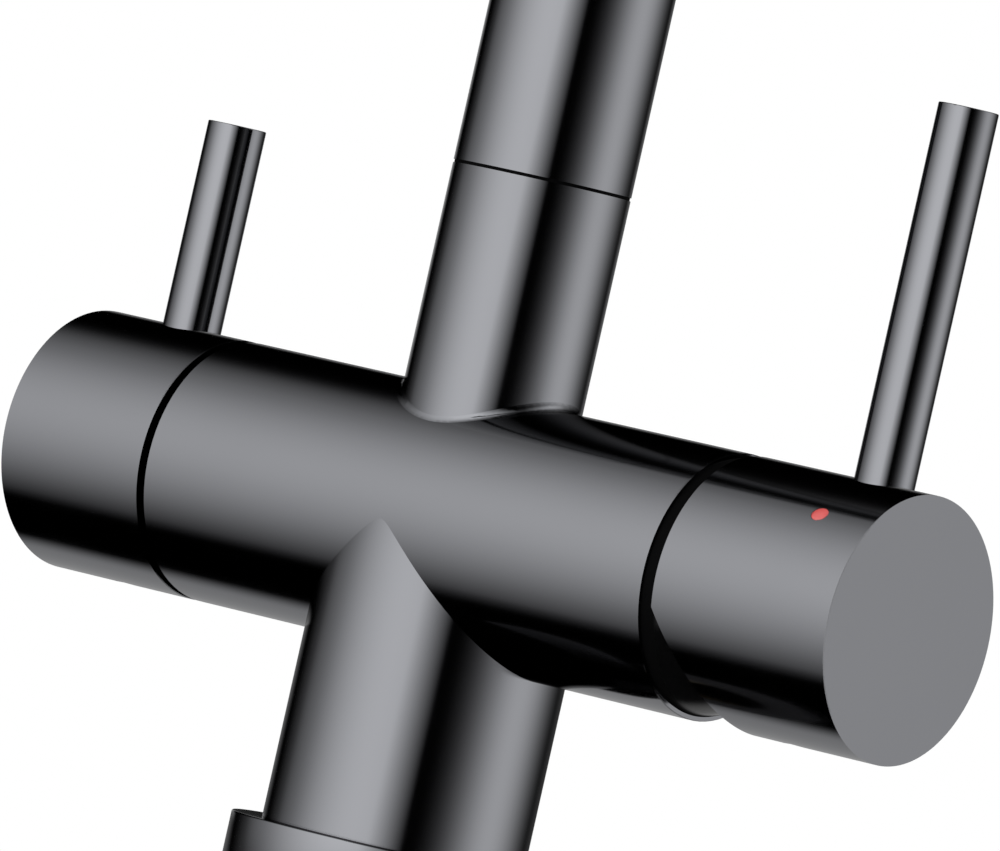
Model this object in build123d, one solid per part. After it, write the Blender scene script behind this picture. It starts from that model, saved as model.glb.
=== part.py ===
from build123d import *
import math
import os

# Three way filtered water tap, in millimetres, +Z up.
# The worktop is the plane z = 0 and the tap stands on the origin. The cross tube lies
# along X: the mixer with the long lever is at +X, the filtered water valve at -X.
# The spout points forwards, to -Y.

# ---- Outer sizes ---------------------------------------------------------------------
TUBE_DIAMETER = 47.2  # cross tube and both handle shells
AXIS_HEIGHT = 67.2  # cross tube's axis above the worktop
COLUMN_INSET = 0.05  # the column's radius is this much under the cross tube's
RISER_DIAMETER = 32.0  # riser of the body, and the spout on it
SEAM_HEIGHT = 129.7  # swivel seam above the worktop
SEAM_GAP = 0.6  # width of the seam, filled by the slip ring
SEAM_INSET = 0.4  # the slip ring's edge behind the tubes' surface
BODY_LEFT = 54.4  # from the column's axis to the body's left end
BODY_RIGHT = 58.6  # and to its right end
FILTER_GAP = 1.8  # between the body's left end and the filter handle
MIXER_GAP = 2.8  # between the body's right end and the mixer handle
FILTER_HANDLE_LENGTH = 32.2
MIXER_HANDLE_LENGTH = 37.9
EDGE_CHAMFER = 0.15  # on the turned edges of the body, the handles and the levers
RISER_FILLET = 1.5  # where the riser grows out of the cross tube

# ---- Levers --------------------------------------------------------------------------
LEVER_DIAMETER = 10.6
FILTER_LEVER_SET_BACK = 14.3  # from the handle's rim to the lever's axis
MIXER_LEVER_SET_BACK = 25.9
FILTER_LEVER_TOP = 60.8  # lever tops above the cross tube's axis
MIXER_LEVER_TOP = 89.6
LEVER_SEAT_DEPTH = 1.6  # spot-face in the shell's crown that the lever stands in
LEVER_THREAD = 6.0  # threaded spigot under the lever
LEVER_THREAD_LENGTH = 9.0
TILT = 20.0  # degrees that the mixer lever tips outwards, from shut to full flow

# ---- Base and worktop clamp ----------------------------------------------------------
BASE_DIAMETER = 58.0
BASE_HEIGHT = 10.0
BASE_CHAMFER = 0.4  # on the base ring's upper edge
BASE_LEDGE = 3.0  # floor of the base ring, which the column's foot stands on
SEAL_DIAMETER = 47.0  # middle of the rubber seal under the base ring
SEAL_WIDTH = 4.0
SEAL_HEIGHT = 2.0
SHANK_DIAMETER = 33.0
SHANK_BORE = 29.0
SHANK_BELOW = 58.0  # shank below the worktop's upper face
SHANK_SOCKET = 12.0  # length of shank screwed into the column
WORKTOP_THICKNESS = 40.0  # the thickest worktop, which the clamp is drawn for
CLAMP_DIAMETER = 54.0  # rubber and steel washers under the worktop
RUBBER_WASHER = 3.0
STEEL_WASHER = 2.0
STEEL_RIM = 3.5  # depth of the steel washer's turned-down rim
BACK_NUT_FLATS = 41.0
BACK_NUT_HEIGHT = 9.0

# ---- Waterways -----------------------------------------------------------------------
INLET_BORE = 9.0  # tapping bore of the M10 x 1 hose threads
INLET_DEPTH = 12.0
INLET_PITCH = 8.5  # radius of the circle that the three inlets lie on
WATERWAY = 5.2  # drilled ways in the body
OUTLET_WAY_OFFSET = 9.4  # mixed water's drilling up to the riser, from its axis
FILTER_WAY = 4.4  # drilled way of the filtered water
FILTER_WAY_OFFSET = 10.4  # its height above the cross tube's axis
RISER_BORE = 25.0
RISER_FLOOR = 19.0  # floor of the riser's bore above the cross tube's axis
FILTER_BOSS_DIAMETER = 13.0  # boss on that floor, which holds the inner tube
FILTER_BOSS_HEIGHT = 8.0
TUBE_RING_SECTION = 1.4  # O-ring in the boss, round the inner tube

# ---- Mixer cartridge, from its shoulder inwards ----------------------------------------
SHOULDER_DEPTH = 8.6  # cartridge's shoulder inside the body's right end
CARTRIDGE_DIAMETER = 35.0
CARTRIDGE_WALL = 2.0
SHOULDER_THICKNESS = 4.0
ROTOR_FLANGE = 4.8
ROTOR_FLANGE_DIAMETER = 29.2
CARRIER_THICKNESS = 6.0
CARRIER_DIAMETER = 24.0
MOVING_DISC_THICKNESS = 4.0
MOVING_DISC_DIAMETER = 25.0
RECESS_DEPTH = 2.0  # mixing recess in the moving disc's face
RECESS_UPPER = (0.7, 5.0)  # its upper round: height in the disc, below the centre, and radius
RECESS_LOWER = (4.1, 4.2)  # its lower round
FIXED_DISC_THICKNESS = 3.5
CARTRIDGE_PLATE = 5.0  # plate that closes the cartridge, with its ports
PORT_BORE = 5.2
PORT_PITCH = 6.4  # radius of the circle that the three ports lie on
PORT_SEAL_WIDTH = 1.6
PORT_SEAL_HEIGHT = 2.2
COLLAR_LENGTH = 10.0  # neck of the cartridge outside its shoulder
COLLAR_BORE = 22.0
COLLAR_WALL = 2.0
ROTOR_SEAL_INSET = 3.0  # rotor's O-ring behind the collar's end
PIVOT_ABOVE_SHOULDER = 2.0  # tilt pin outside the shoulder
PIVOT_PIN_DIAMETER = 3.0
STEM_SQUARE = 7.0
STEM_GRIP = 9.5  # length of stem inside the handle's socket
STEM_BALL_DIAMETER = 5.0
STEM_ARM_DIAMETER = 3.6
RAIL_THICKNESS = 1.5  # the carrier's guide rails, which slide in the rotor
RAIL_OFFSET = 6.75
RAIL_LENGTH = 8.0
RAIL_HEIGHT = 2.3

# ---- Cartridge nut, dome cover and mixer handle ----------------------------------------
NUT_THREAD = 40.0
NUT_LENGTH = 7.0
NUT_BOSS_DIAMETER = 34.0
NUT_BOSS_LENGTH = 6.0
NUT_SLOT_WIDTH = 2.0
NUT_SLOT_DEPTH = 1.5
DOME_WALL = 1.3
DOME_MOUTH = 28.0
DOME_CLEARANCE = 0.5  # between the dome and the mixer handle's bore
MIXER_RIM_WALL = 1.3  # mixer handle's wall over the dome
RELIEF_CLEARANCE = 0.35  # between the tipped handle's rim and the body
RELIEF_EXTRA_ANGLE = 12.2  # how much steeper than the tilt the rim is cut away
SOCKET_SPARE = 1.0  # depth of the handles' sockets beyond the stem and spindle
GRUB_SCREW_DIAMETER = 5.0
GRUB_SCREW_LENGTH = 8.0
GRUB_SCREW_KEY = 2.5  # across the flats of its hexagon socket
GRUB_SCREW_KEY_DEPTH = 2.5
INDEX_DOT_DIAMETER = 3.1
INDEX_DOT_DEPTH = 0.8
INDEX_DOT_ANGLE = 46.7  # from the crown of the shell to each dot
INDEX_DOT_PAST = 0.7  # dots' centre beyond the lever's axis, towards the handle's end

# ---- Filtered water valve, from the body's left end inwards ----------------------------
VALVE_BORE = 21.0
VALVE_DEPTH = 22.4
VALVE_SEAT_DEPTH = 2.0  # recess for the valve's hexagon
VALVE_SEAT_DIAMETER = 30.0
VALVE_FLATS = 24.0
VALVE_HEX_LENGTH = 6.0
VALVE_NECK_DIAMETER = 16.0
VALVE_NECK_LENGTH = 4.1
VALVE_THREAD_LENGTH = 6.4
VALVE_BARREL_DIAMETER = 17.8
VALVE_WINDOW = 8.8  # width of the windows in the barrel
VALVE_CHAMBER_DIAMETER = 16.0
SEAT_SEAL_HEIGHT = 4.0
SEAT_SEAL_WIDTH = 3.6
FILTER_DISC_THICKNESS = 2.8
FILTER_DISC_PORT = 4.4
FILTER_DISC_PITCH = 4.2
SPINDLE_DIAMETER = 10.0
SPINDLE_TANG = 3.0
SPINDLE_TANG_WIDTH = 4.2
SPINDLE_COLLAR = 2.0  # full diameter beyond the neck, with the circlip's groove in it
SPINDLE_KEY = 3.0  # width of the tang's key in the disc
SPINDLE_KEY_DEPTH = 0.8
SPINDLE_END_DIAMETER = 8.0
SPINDLE_GRIP = 12.5  # length of spindle inside the handle
CIRCLIP_THICKNESS = 1.0
CIRCLIP_WIDTH = 2.6
CIRCLIP_GAP = 5.7  # opening of the circlip
FILTER_RIM_WALL = 3.1
FILTER_CAVITY = 9.3  # depth of the filter handle's hollow

# ---- Spout ---------------------------------------------------------------------------
SPOUT_WALL = 1.8
SPOUT_REACH = 190.0  # from the riser's axis to the outlet's axis
SPOUT_HEIGHT = 380.0  # top of the bend above the worktop
OUTLET_HEIGHT = 228.0  # end of the spout's tube above the worktop
STUB_UPPER = 20.0  # swivel stub inside the spout's tube
STUB_CLEARANCE = 3.0  # from the boss's top to the stub's lower end
STUB_WALL = 3.0
RING_SECTION = 1.5  # cord of the swivel's O-rings
RING_SPACING = 6.0
RING_SET_UP = 4.0  # lowest groove above the stub's lower end
SPINDLE_RING_SECTION = 1.4
RETAINING_GROOVE_WIDTH = 3.2
RETAINING_GROOVE_DEPTH = 1.4
RETAINING_SCREW_LENGTH = 4.5
INNER_TUBE_DIAMETER = 8.0
INNER_TUBE_WALL = 1.0
INNER_TUBE_SOCKET = 6.0  # length of tube held at each end

# ---- Outlet --------------------------------------------------------------------------
FITTING_LENGTH = 14.0  # brass fitting in the spout's end, up to its web's top
FITTING_WEB = 4.0
AERATOR_THREAD = 24.0
AERATOR_FLANGE_DIAMETER = 29.0
AERATOR_FLANGE = 3.0
AERATOR_FLATS = 27.0  # across the two spanner flats on the flange
AERATOR_WALL = 1.7
OUTLET_SEAL_HEIGHT = 1.8
OUTLET_WAY = 4.0  # holes round the fitting's web
OUTLET_WAY_COUNT = 6
NOZZLE_DIAMETER = 8.8
NOZZLE_BORE = 5.6
NOZZLE_PROUD = 1.5  # nozzle below the aerator's face
INSERT_RECESS = 0.6  # aerator insert above the flange's face
INSERT_LENGTH = 8.0
INSERT_ROWS = ((6.0, 12, 0.9), (8.3, 18, 0.9))  # radius, count and hole radius of each row

# ---- Clearances ----------------------------------------------------------------------
FIT = 0.05  # radial, between pieces that seat or turn in each other
LOOSE = 0.3  # between pieces that only pass each other
FACE_GAP = 0.02  # between sliding flat faces
PAST = 1.0  # how far a cutter runs past the face that it opens

# ---- Derived places ------------------------------------------------------------------
TUBE_RADIUS = TUBE_DIAMETER / 2
COLUMN_RADIUS = TUBE_RADIUS - COLUMN_INSET
COLUMN_FLOOR = BASE_LEDGE + SHANK_SOCKET  # roof of the shank's socket, where hoses screw in
RISER_TOP = SEAM_HEIGHT - SEAM_GAP / 2
SPOUT_FOOT = SEAM_HEIGHT + SEAM_GAP / 2
CLAMP_FACE = -WORKTOP_THICKNESS

FILTER_RIM_X = -(BODY_LEFT + FILTER_GAP)
FILTER_END_X = FILTER_RIM_X - FILTER_HANDLE_LENGTH
FILTER_LEVER_X = FILTER_RIM_X - FILTER_LEVER_SET_BACK
MIXER_RIM_X = BODY_RIGHT + MIXER_GAP
MIXER_END_X = MIXER_RIM_X + MIXER_HANDLE_LENGTH
MIXER_LEVER_X = MIXER_RIM_X + MIXER_LEVER_SET_BACK

SHOULDER_X = BODY_RIGHT - SHOULDER_DEPTH
PIVOT_X = SHOULDER_X + PIVOT_ABOVE_SHOULDER
ROTOR_X = SHOULDER_X - SHOULDER_THICKNESS - LOOSE - ROTOR_FLANGE
CARRIER_X = ROTOR_X - LOOSE - CARRIER_THICKNESS
MOVING_DISC_X = CARRIER_X - MOVING_DISC_THICKNESS
FIXED_DISC_X = MOVING_DISC_X - FACE_GAP - FIXED_DISC_THICKNESS
PLATE_X = FIXED_DISC_X - CARTRIDGE_PLATE
MIXER_FLOOR_X = PLATE_X - LOOSE
CARTRIDGE_BORE = CARTRIDGE_DIAMETER - 2 * CARTRIDGE_WALL
COLLAR_DIAMETER = COLLAR_BORE + 2 * COLLAR_WALL
COLLAR_END_X = SHOULDER_X + COLLAR_LENGTH
NUT_END_X = SHOULDER_X + NUT_LENGTH

BALL_X = CARRIER_X + CARRIER_THICKNESS / 2
HALF_TILT = math.radians(TILT / 2)
ARM_LENGTH = (PIVOT_X - BALL_X) / math.cos(HALF_TILT)
DISC_DROP = ARM_LENGTH * math.sin(HALF_TILT)  # the moving disc's centre below the axis, shut

MIXER_BORE_RADIUS = TUBE_RADIUS - MIXER_RIM_WALL
DOME_RADIUS = math.hypot(MIXER_RIM_X - PIVOT_X, MIXER_BORE_RADIUS) - DOME_CLEARANCE
MIXER_CAVITY_X = PIVOT_X + DOME_RADIUS + DOME_CLEARANCE + LOOSE

VALVE_FLOOR_X = -(BODY_LEFT - VALVE_DEPTH)
FILTER_FIXED_X = VALVE_FLOOR_X - SEAT_SEAL_HEIGHT - FILTER_DISC_THICKNESS
FILTER_MOVING_X = FILTER_FIXED_X - FACE_GAP - FILTER_DISC_THICKNESS
TANG_X = FILTER_MOVING_X - SPINDLE_TANG
CHAMBER_X = TANG_X - LOOSE
HEX_X = -(BODY_LEFT - VALVE_SEAT_DEPTH)
BARREL_X = HEX_X + VALVE_THREAD_LENGTH
NECK_X = HEX_X - VALVE_HEX_LENGTH
SPINDLE_SHOULDER_X = NECK_X - VALVE_NECK_LENGTH
FILTER_CAVITY_X = FILTER_RIM_X - FILTER_CAVITY

SPOUT_RADIUS = RISER_DIAMETER / 2
SPOUT_BORE_RADIUS = SPOUT_RADIUS - SPOUT_WALL
BEND_RADIUS = SPOUT_REACH / 2
BEND_HEIGHT = SPOUT_HEIGHT - BEND_RADIUS - SPOUT_RADIUS
STUB_RADIUS = RISER_BORE / 2 - FIT
RISER_FLOOR_Z = AXIS_HEIGHT + RISER_FLOOR
BOSS_TOP = RISER_FLOOR_Z + FILTER_BOSS_HEIGHT
STUB_FOOT = BOSS_TOP + STUB_CLEARANCE
UPPER_RING_Z = STUB_FOOT + RING_SET_UP + RING_SPACING
GROOVE_HEIGHT = (UPPER_RING_Z + SEAM_HEIGHT) / 2  # retaining screw's groove
TUBE_FOOT = BOSS_TOP - INNER_TUBE_SOCKET
TUBE_RING_Z = BOSS_TOP - INNER_TUBE_SOCKET / 2
WEB_HEIGHT = OUTLET_HEIGHT + FITTING_LENGTH - FITTING_WEB
TUBE_TIP = OUTLET_HEIGHT + FITTING_LENGTH
INNER_TUBE_RADIUS = INNER_TUBE_DIAMETER / 2

CROSS_AXIS = Axis((0, 0, AXIS_HEIGHT), (1, 0, 0))
CROSS_PLANE = Plane(origin=(0, 0, AXIS_HEIGHT), x_dir=(1, 0, 0), z_dir=(0, -1, 0))
OUTLET_Y = -SPOUT_REACH
FROM_BELOW = (Align.CENTER, Align.CENTER, Align.MIN)
PORT_ANGLE = math.radians(60)  # from the crown to the hot and cold ports
PORT_SIDE = PORT_PITCH * math.sin(PORT_ANGLE)
PORT_RISE = PORT_PITCH * math.cos(PORT_ANGLE)


# ---- Building helpers ------------------------------------------------------------------
def across(radius, start, end, bore=0.0, y=0.0, up=0.0):
    """A round bar or ring parallel to the cross tube, from one x to another."""
    low, high = sorted((start, end))
    place = Pos(low, y, AXIS_HEIGHT + up) * Rot(0, 90, 0)
    bar = place * Cylinder(radius, high - low, align=FROM_BELOW)
    if bore:
        bar -= place * Cylinder(bore, high - low, align=FROM_BELOW)
    return bar


def upright(radius, low, high, bore=0.0, x=0.0, y=0.0):
    """A round bar or ring standing on one height and ending at another."""
    place = Pos(x, y, low)
    bar = place * Cylinder(radius, high - low, align=FROM_BELOW)
    if bore:
        bar -= place * Cylinder(bore, high - low, align=FROM_BELOW)
    return bar


def block(x0, x1, y0, y1, up0, up1):
    """A block between two x, two y and two heights above the cross tube's axis."""
    middle = Pos((x0 + x1) / 2, (y0 + y1) / 2, AXIS_HEIGHT + (up0 + up1) / 2)
    return middle * Box(x1 - x0, y1 - y0, up1 - up0)


def turned_across(points):
    """A piece turned about the cross tube's axis, from (x, radius) points."""
    outline = CROSS_PLANE * make_face(Polyline(*points, close=True))
    return revolve(outline, CROSS_AXIS)


def turned_upright(points, y=0.0):
    """A piece turned about an upright axis, from (radius, height) points."""
    plane = Plane(origin=(0, y, 0), x_dir=(1, 0, 0), z_dir=(0, -1, 0))
    outline = plane * make_face(Polyline(*points, close=True))
    return revolve(outline, Axis((0, y, 0), (0, 0, 1)))


def radial(radius, x, inner, outer, angle):
    """A round bar square to the cross tube's axis, at an angle from its crown to the front."""
    turn = Pos(x, 0, AXIS_HEIGHT) * Rot(angle, 0, 0)
    return turn * Pos(0, 0, inner) * Cylinder(radius, outer - inner, align=FROM_BELOW)


def ring_about_x(major, section, x):
    """An O-ring round the cross tube's axis."""
    return Pos(x, 0, AXIS_HEIGHT) * Rot(0, 90, 0) * Torus(major, section / 2)


def ports(radius, start, end):
    """The cartridge's three round ports: hot behind, cold in front and mixed water below."""
    shape = across(radius, start, end, y=PORT_SIDE, up=PORT_RISE)
    shape += across(radius, start, end, y=-PORT_SIDE, up=PORT_RISE)
    return shape + across(radius, start, end, up=-PORT_PITCH)


# ---- Cast body -------------------------------------------------------------------------
def inlet_places():
    """Centres of the three hose inlets, seen from above: filtered, hot and cold."""
    side = INLET_PITCH * math.sin(PORT_ANGLE)
    rise = INLET_PITCH * math.cos(PORT_ANGLE)
    return ((-INLET_PITCH, 0.0), (rise, side), (rise, -side))


def water_ways():
    """The drillings inside the body, from the inlets to both valves and up to the riser."""
    way = WATERWAY / 2
    cuts = []
    for x, y in inlet_places():
        cuts.append(upright(INLET_BORE / 2, COLUMN_FLOOR - PAST, COLUMN_FLOOR + INLET_DEPTH, x=x, y=y))
    start = COLUMN_FLOOR + INLET_DEPTH - PAST
    filtered, hot, cold = inlet_places()
    cuts.append(upright(way, start, AXIS_HEIGHT, x=filtered[0]))
    cuts.append(across(way, filtered[0] + way, VALVE_FLOOR_X - PAST))
    for (x, y), side in ((hot, PORT_SIDE), (cold, -PORT_SIDE)):
        cuts.append(upright(way, start, AXIS_HEIGHT + PORT_RISE, x=x, y=y))
        cuts.append(across(way, x - way, MIXER_FLOOR_X + PAST, y=side, up=PORT_RISE))
    cuts.append(across(way, OUTLET_WAY_OFFSET - way, MIXER_FLOOR_X + PAST, up=-PORT_PITCH))
    mixed_up = AXIS_HEIGHT - PORT_PITCH
    cuts.append(upright(way, mixed_up, RISER_FLOOR_Z + PAST, x=OUTLET_WAY_OFFSET))
    cuts.append(across(FILTER_WAY / 2, BARREL_X + 2, FILTER_WAY / 2, up=FILTER_WAY_OFFSET))
    cuts.append(upright(FILTER_WAY / 2, AXIS_HEIGHT + FILTER_WAY_OFFSET, TUBE_FOOT))
    return cuts


def is_riser_root(box):
    """Whether an edge of the body is the curve where the riser meets the cross tube."""
    width = max(-box.min.X, box.max.X, -box.min.Y, box.max.Y)
    crown = AXIS_HEIGHT + TUBE_RADIUS
    inside = box.min.Z > AXIS_HEIGHT + EDGE_CHAMFER and box.max.Z < crown + EDGE_CHAMFER
    return inside and width < RISER_DIAMETER / 2 + EDGE_CHAMFER


def body():
    tube = across(TUBE_RADIUS, -BODY_LEFT, BODY_RIGHT)
    tube = chamfer(tube.edges().filter_by(GeomType.CIRCLE), EDGE_CHAMFER)
    column = upright(COLUMN_RADIUS, BASE_LEDGE, AXIS_HEIGHT)
    riser = upright(RISER_DIAMETER / 2, AXIS_HEIGHT, RISER_TOP)
    shape = tube + column + riser
    root = [edge for edge in shape.edges() if is_riser_root(edge.bounding_box())]
    shape = fillet(root, RISER_FILLET)
    # shank's socket, riser's bore with the boss left standing, and both valve cavities
    shape -= upright(SHANK_DIAMETER / 2 + FIT, BASE_LEDGE, COLUMN_FLOOR)
    shape -= upright(RISER_BORE / 2, RISER_FLOOR_Z, RISER_TOP)
    shape += upright(FILTER_BOSS_DIAMETER / 2, RISER_FLOOR_Z, BOSS_TOP)
    shape -= upright(INNER_TUBE_RADIUS + FIT, TUBE_FOOT, BOSS_TOP)
    ring = TUBE_RING_SECTION
    shape -= upright(INNER_TUBE_RADIUS + ring - FIT, TUBE_RING_Z - ring / 2, TUBE_RING_Z + ring / 2)
    shape -= across(CARTRIDGE_DIAMETER / 2 + FIT, MIXER_FLOOR_X, SHOULDER_X)
    shape -= across(NUT_THREAD / 2, SHOULDER_X - LOOSE, BODY_RIGHT)
    shape -= across(VALVE_BORE / 2, VALVE_FLOOR_X, -BODY_LEFT)
    shape -= across(VALVE_SEAT_DIAMETER / 2, HEX_X, -BODY_LEFT)
    for cut in water_ways():
        shape -= cut
    # the retaining screw's tapped hole, in the back of the riser
    back = Pos(0, RISER_BORE / 2 - PAST, GROOVE_HEIGHT) * Rot(-90, 0, 0)
    shape -= back * Cylinder(GRUB_SCREW_DIAMETER / 2, RISER_DIAMETER / 2, align=FROM_BELOW)
    return shape


# ---- Base and worktop clamp --------------------------------------------------------------
def base_ring():
    outer = BASE_DIAMETER / 2
    inner = SHANK_DIAMETER / 2 + LOOSE
    well = COLUMN_RADIUS + FIT
    seal_in = (SEAL_DIAMETER - SEAL_WIDTH) / 2 - FIT
    seal_out = (SEAL_DIAMETER + SEAL_WIDTH) / 2 + FIT
    return turned_upright(
        [
            (inner, 0),
            (seal_in, 0),
            (seal_in, SEAL_HEIGHT),
            (seal_out, SEAL_HEIGHT),
            (seal_out, 0),
            (outer, 0),
            (outer, BASE_HEIGHT - BASE_CHAMFER),
            (outer - BASE_CHAMFER, BASE_HEIGHT),
            (well, BASE_HEIGHT),
            (well, BASE_LEDGE),
            (inner, BASE_LEDGE),
        ]
    )


def base_seal():
    middle = SEAL_DIAMETER / 2
    return upright(middle + SEAL_WIDTH / 2, 0, SEAL_HEIGHT - FIT, bore=middle - SEAL_WIDTH / 2)


def mounting_shank():
    shank = upright(SHANK_DIAMETER / 2, -SHANK_BELOW, COLUMN_FLOOR, bore=SHANK_BORE / 2)
    rim = shank.edges().filter_by(GeomType.CIRCLE).group_by(Axis.Z)[0].sort_by(SortBy.RADIUS)[-1]
    return chamfer(rim, (SHANK_DIAMETER - SHANK_BORE) / 4)


def rubber_washer():
    hole = SHANK_DIAMETER / 2 + LOOSE
    return upright(CLAMP_DIAMETER / 2, CLAMP_FACE - RUBBER_WASHER, CLAMP_FACE, bore=hole)


def clamp_washer():
    """Pressed steel washer with its rim turned down."""
    top = CLAMP_FACE - RUBBER_WASHER
    hole = SHANK_DIAMETER / 2 + LOOSE
    outer = CLAMP_DIAMETER / 2
    return turned_upright(
        [
            (hole, top - STEEL_WASHER),
            (outer - STEEL_WASHER, top - STEEL_WASHER),
            (outer - STEEL_WASHER, top - STEEL_RIM),
            (outer, top - STEEL_RIM),
            (outer, top),
            (hole, top),
        ]
    )


def back_nut():
    top = CLAMP_FACE - RUBBER_WASHER - STEEL_WASHER
    low = top - BACK_NUT_HEIGHT
    hexagon = RegularPolygon(BACK_NUT_FLATS / 2, 6, major_radius=False)
    nut = Pos(0, 0, low) * extrude(hexagon, BACK_NUT_HEIGHT)
    corner = BACK_NUT_FLATS / math.sqrt(3)
    # the hexagon's corners are turned off at both faces
    bevel = corner - BACK_NUT_FLATS / 2
    crown = turned_upright(
        [
            (0, low),
            (corner - bevel, low),
            (corner, low + bevel * math.tan(math.radians(30))),
            (corner, top - bevel * math.tan(math.radians(30))),
            (corner - bevel, top),
            (0, top),
        ]
    )
    return (nut & crown) - upright(SHANK_DIAMETER / 2 + FIT, low, top)


# ---- Mixer cartridge ---------------------------------------------------------------------
def cartridge_housing():
    return turned_across(
        [
            (PLATE_X, CARTRIDGE_DIAMETER / 2),
            (SHOULDER_X, CARTRIDGE_DIAMETER / 2),
            (SHOULDER_X, COLLAR_DIAMETER / 2),
            (COLLAR_END_X, COLLAR_DIAMETER / 2),
            (COLLAR_END_X, COLLAR_BORE / 2),
            (SHOULDER_X - SHOULDER_THICKNESS, COLLAR_BORE / 2),
            (SHOULDER_X - SHOULDER_THICKNESS, CARTRIDGE_BORE / 2),
            (PLATE_X, CARTRIDGE_BORE / 2),
        ]
    )


def cartridge_plate():
    """Plate that closes the cartridge, with a seal pocket on both sides of each port."""
    plate = across(CARTRIDGE_BORE / 2 - FIT, PLATE_X, FIXED_DISC_X)
    plate -= ports(PORT_BORE / 2, PLATE_X, FIXED_DISC_X)
    pocket = PORT_BORE / 2 + PORT_SEAL_WIDTH + FIT
    depth = PORT_SEAL_HEIGHT - LOOSE
    plate -= ports(pocket, PLATE_X, PLATE_X + depth)
    plate -= ports(pocket, FIXED_DISC_X - depth, FIXED_DISC_X)
    return plate


def port_seals():
    """Six rubber rings: three against the body's floor and three against the fixed disc."""
    inner = PORT_BORE / 2
    outer = inner + PORT_SEAL_WIDTH
    depth = PORT_SEAL_HEIGHT - LOOSE
    rings = ports(outer, MIXER_FLOOR_X, PLATE_X + depth)
    rings -= ports(inner, MIXER_FLOOR_X, PLATE_X + depth)
    rings += ports(outer, FIXED_DISC_X - depth, FIXED_DISC_X)
    rings -= ports(inner, FIXED_DISC_X - depth, FIXED_DISC_X)
    return rings


def fixed_disc():
    disc = across(CARTRIDGE_BORE / 2 - FIT, FIXED_DISC_X, FIXED_DISC_X + FIXED_DISC_THICKNESS)
    return disc - ports(PORT_BORE / 2, FIXED_DISC_X, FIXED_DISC_X + FIXED_DISC_THICKNESS)


def moving_disc():
    """Ceramic disc whose mixing recess joins the inlets to the outlet as it slides up."""
    face = MOVING_DISC_X
    disc = across(MOVING_DISC_DIAMETER / 2, face, face + MOVING_DISC_THICKNESS, up=-DISC_DROP)
    for below, radius in (RECESS_UPPER, RECESS_LOWER):
        disc -= across(radius, face, face + RECESS_DEPTH, up=-DISC_DROP - below)
    return disc


def disc_carrier():
    """Plastic carrier behind the moving disc, with the ball's socket and two guide rails."""
    back = CARRIER_X + CARRIER_THICKNESS
    carrier = across(CARRIER_DIAMETER / 2, CARRIER_X, back, up=-DISC_DROP)
    for side in (-1, 1):
        middle = side * RAIL_OFFSET
        carrier += block(
            back,
            back + RAIL_HEIGHT,
            middle - RAIL_THICKNESS / 2,
            middle + RAIL_THICKNESS / 2,
            -DISC_DROP - RAIL_LENGTH / 2,
            -DISC_DROP + RAIL_LENGTH / 2,
        )
    ball = STEM_BALL_DIAMETER / 2
    socket = across(ball + FIT, BALL_X - ball - LOOSE, back, up=-DISC_DROP)
    return carrier - socket


def rotor():
    """Plastic rotor that turns with the lever, slotted so that the stem can tip in it."""
    neck = COLLAR_BORE / 2 - FIT
    end = COLLAR_END_X + LOOSE
    shape = across(ROTOR_FLANGE_DIAMETER / 2, ROTOR_X, ROTOR_X + ROTOR_FLANGE)
    shape += across(neck, ROTOR_X, end)
    half = STEM_SQUARE / 2
    slot = half + LOOSE
    reach = (end - PIVOT_X) * math.tan(math.radians(TILT)) + half / math.cos(math.radians(TILT))
    shape -= block(ROTOR_X, end, -slot, slot, -reach - LOOSE, half + 2 * LOOSE + DISC_DROP)
    for side in (-1, 1):
        groove = RAIL_THICKNESS / 2 + LOOSE / 2
        middle = side * RAIL_OFFSET
        wide = ROTOR_FLANGE_DIAMETER
        top = ROTOR_X + RAIL_HEIGHT
        shape -= block(ROTOR_X, top, middle - groove, middle + groove, -wide, wide)
    pin = Pos(PIVOT_X, 0, AXIS_HEIGHT) * Rot(90, 0, 0)
    shape -= pin * Cylinder(PIVOT_PIN_DIAMETER / 2 + FIT / 2, COLLAR_BORE)
    ring = SPINDLE_RING_SECTION
    seal_x = rotor_seal_x()
    shape -= across(neck + PAST, seal_x - ring / 2, seal_x + ring / 2, bore=neck - ring + FIT)
    return shape


def rotor_seal_x():
    return COLLAR_END_X - ROTOR_SEAL_INSET


def rotor_seal():
    neck = COLLAR_BORE / 2 - FIT
    section = SPINDLE_RING_SECTION - 2 * FIT
    return ring_about_x(neck - section / 2 - FIT / 2, section, rotor_seal_x())


def pivot_pin():
    pin = Pos(PIVOT_X, 0, AXIS_HEIGHT) * Rot(90, 0, 0)
    return pin * Cylinder(PIVOT_PIN_DIAMETER / 2, COLLAR_BORE - 4 * FIT - 2 * LOOSE)


def lever_stem():
    """Steel stem: a square arm in the handle, a hub on the pin and a ball in the carrier."""
    half = STEM_SQUARE / 2
    stem = block(PIVOT_X, MIXER_CAVITY_X + STEM_GRIP, -half, half, -half, half)
    hub = Pos(PIVOT_X, 0, AXIS_HEIGHT) * Rot(90, 0, 0)
    stem += hub * Cylinder(half, STEM_SQUARE)
    place = Pos(PIVOT_X, 0, AXIS_HEIGHT) * Rot(0, -90 - TILT / 2, 0)
    stem += place * Cylinder(STEM_ARM_DIAMETER / 2, ARM_LENGTH, align=FROM_BELOW)
    stem += place * Pos(0, 0, ARM_LENGTH) * Sphere(STEM_BALL_DIAMETER / 2)
    return stem - hub * Cylinder(PIVOT_PIN_DIAMETER / 2 + FIT, STEM_SQUARE)


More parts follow.
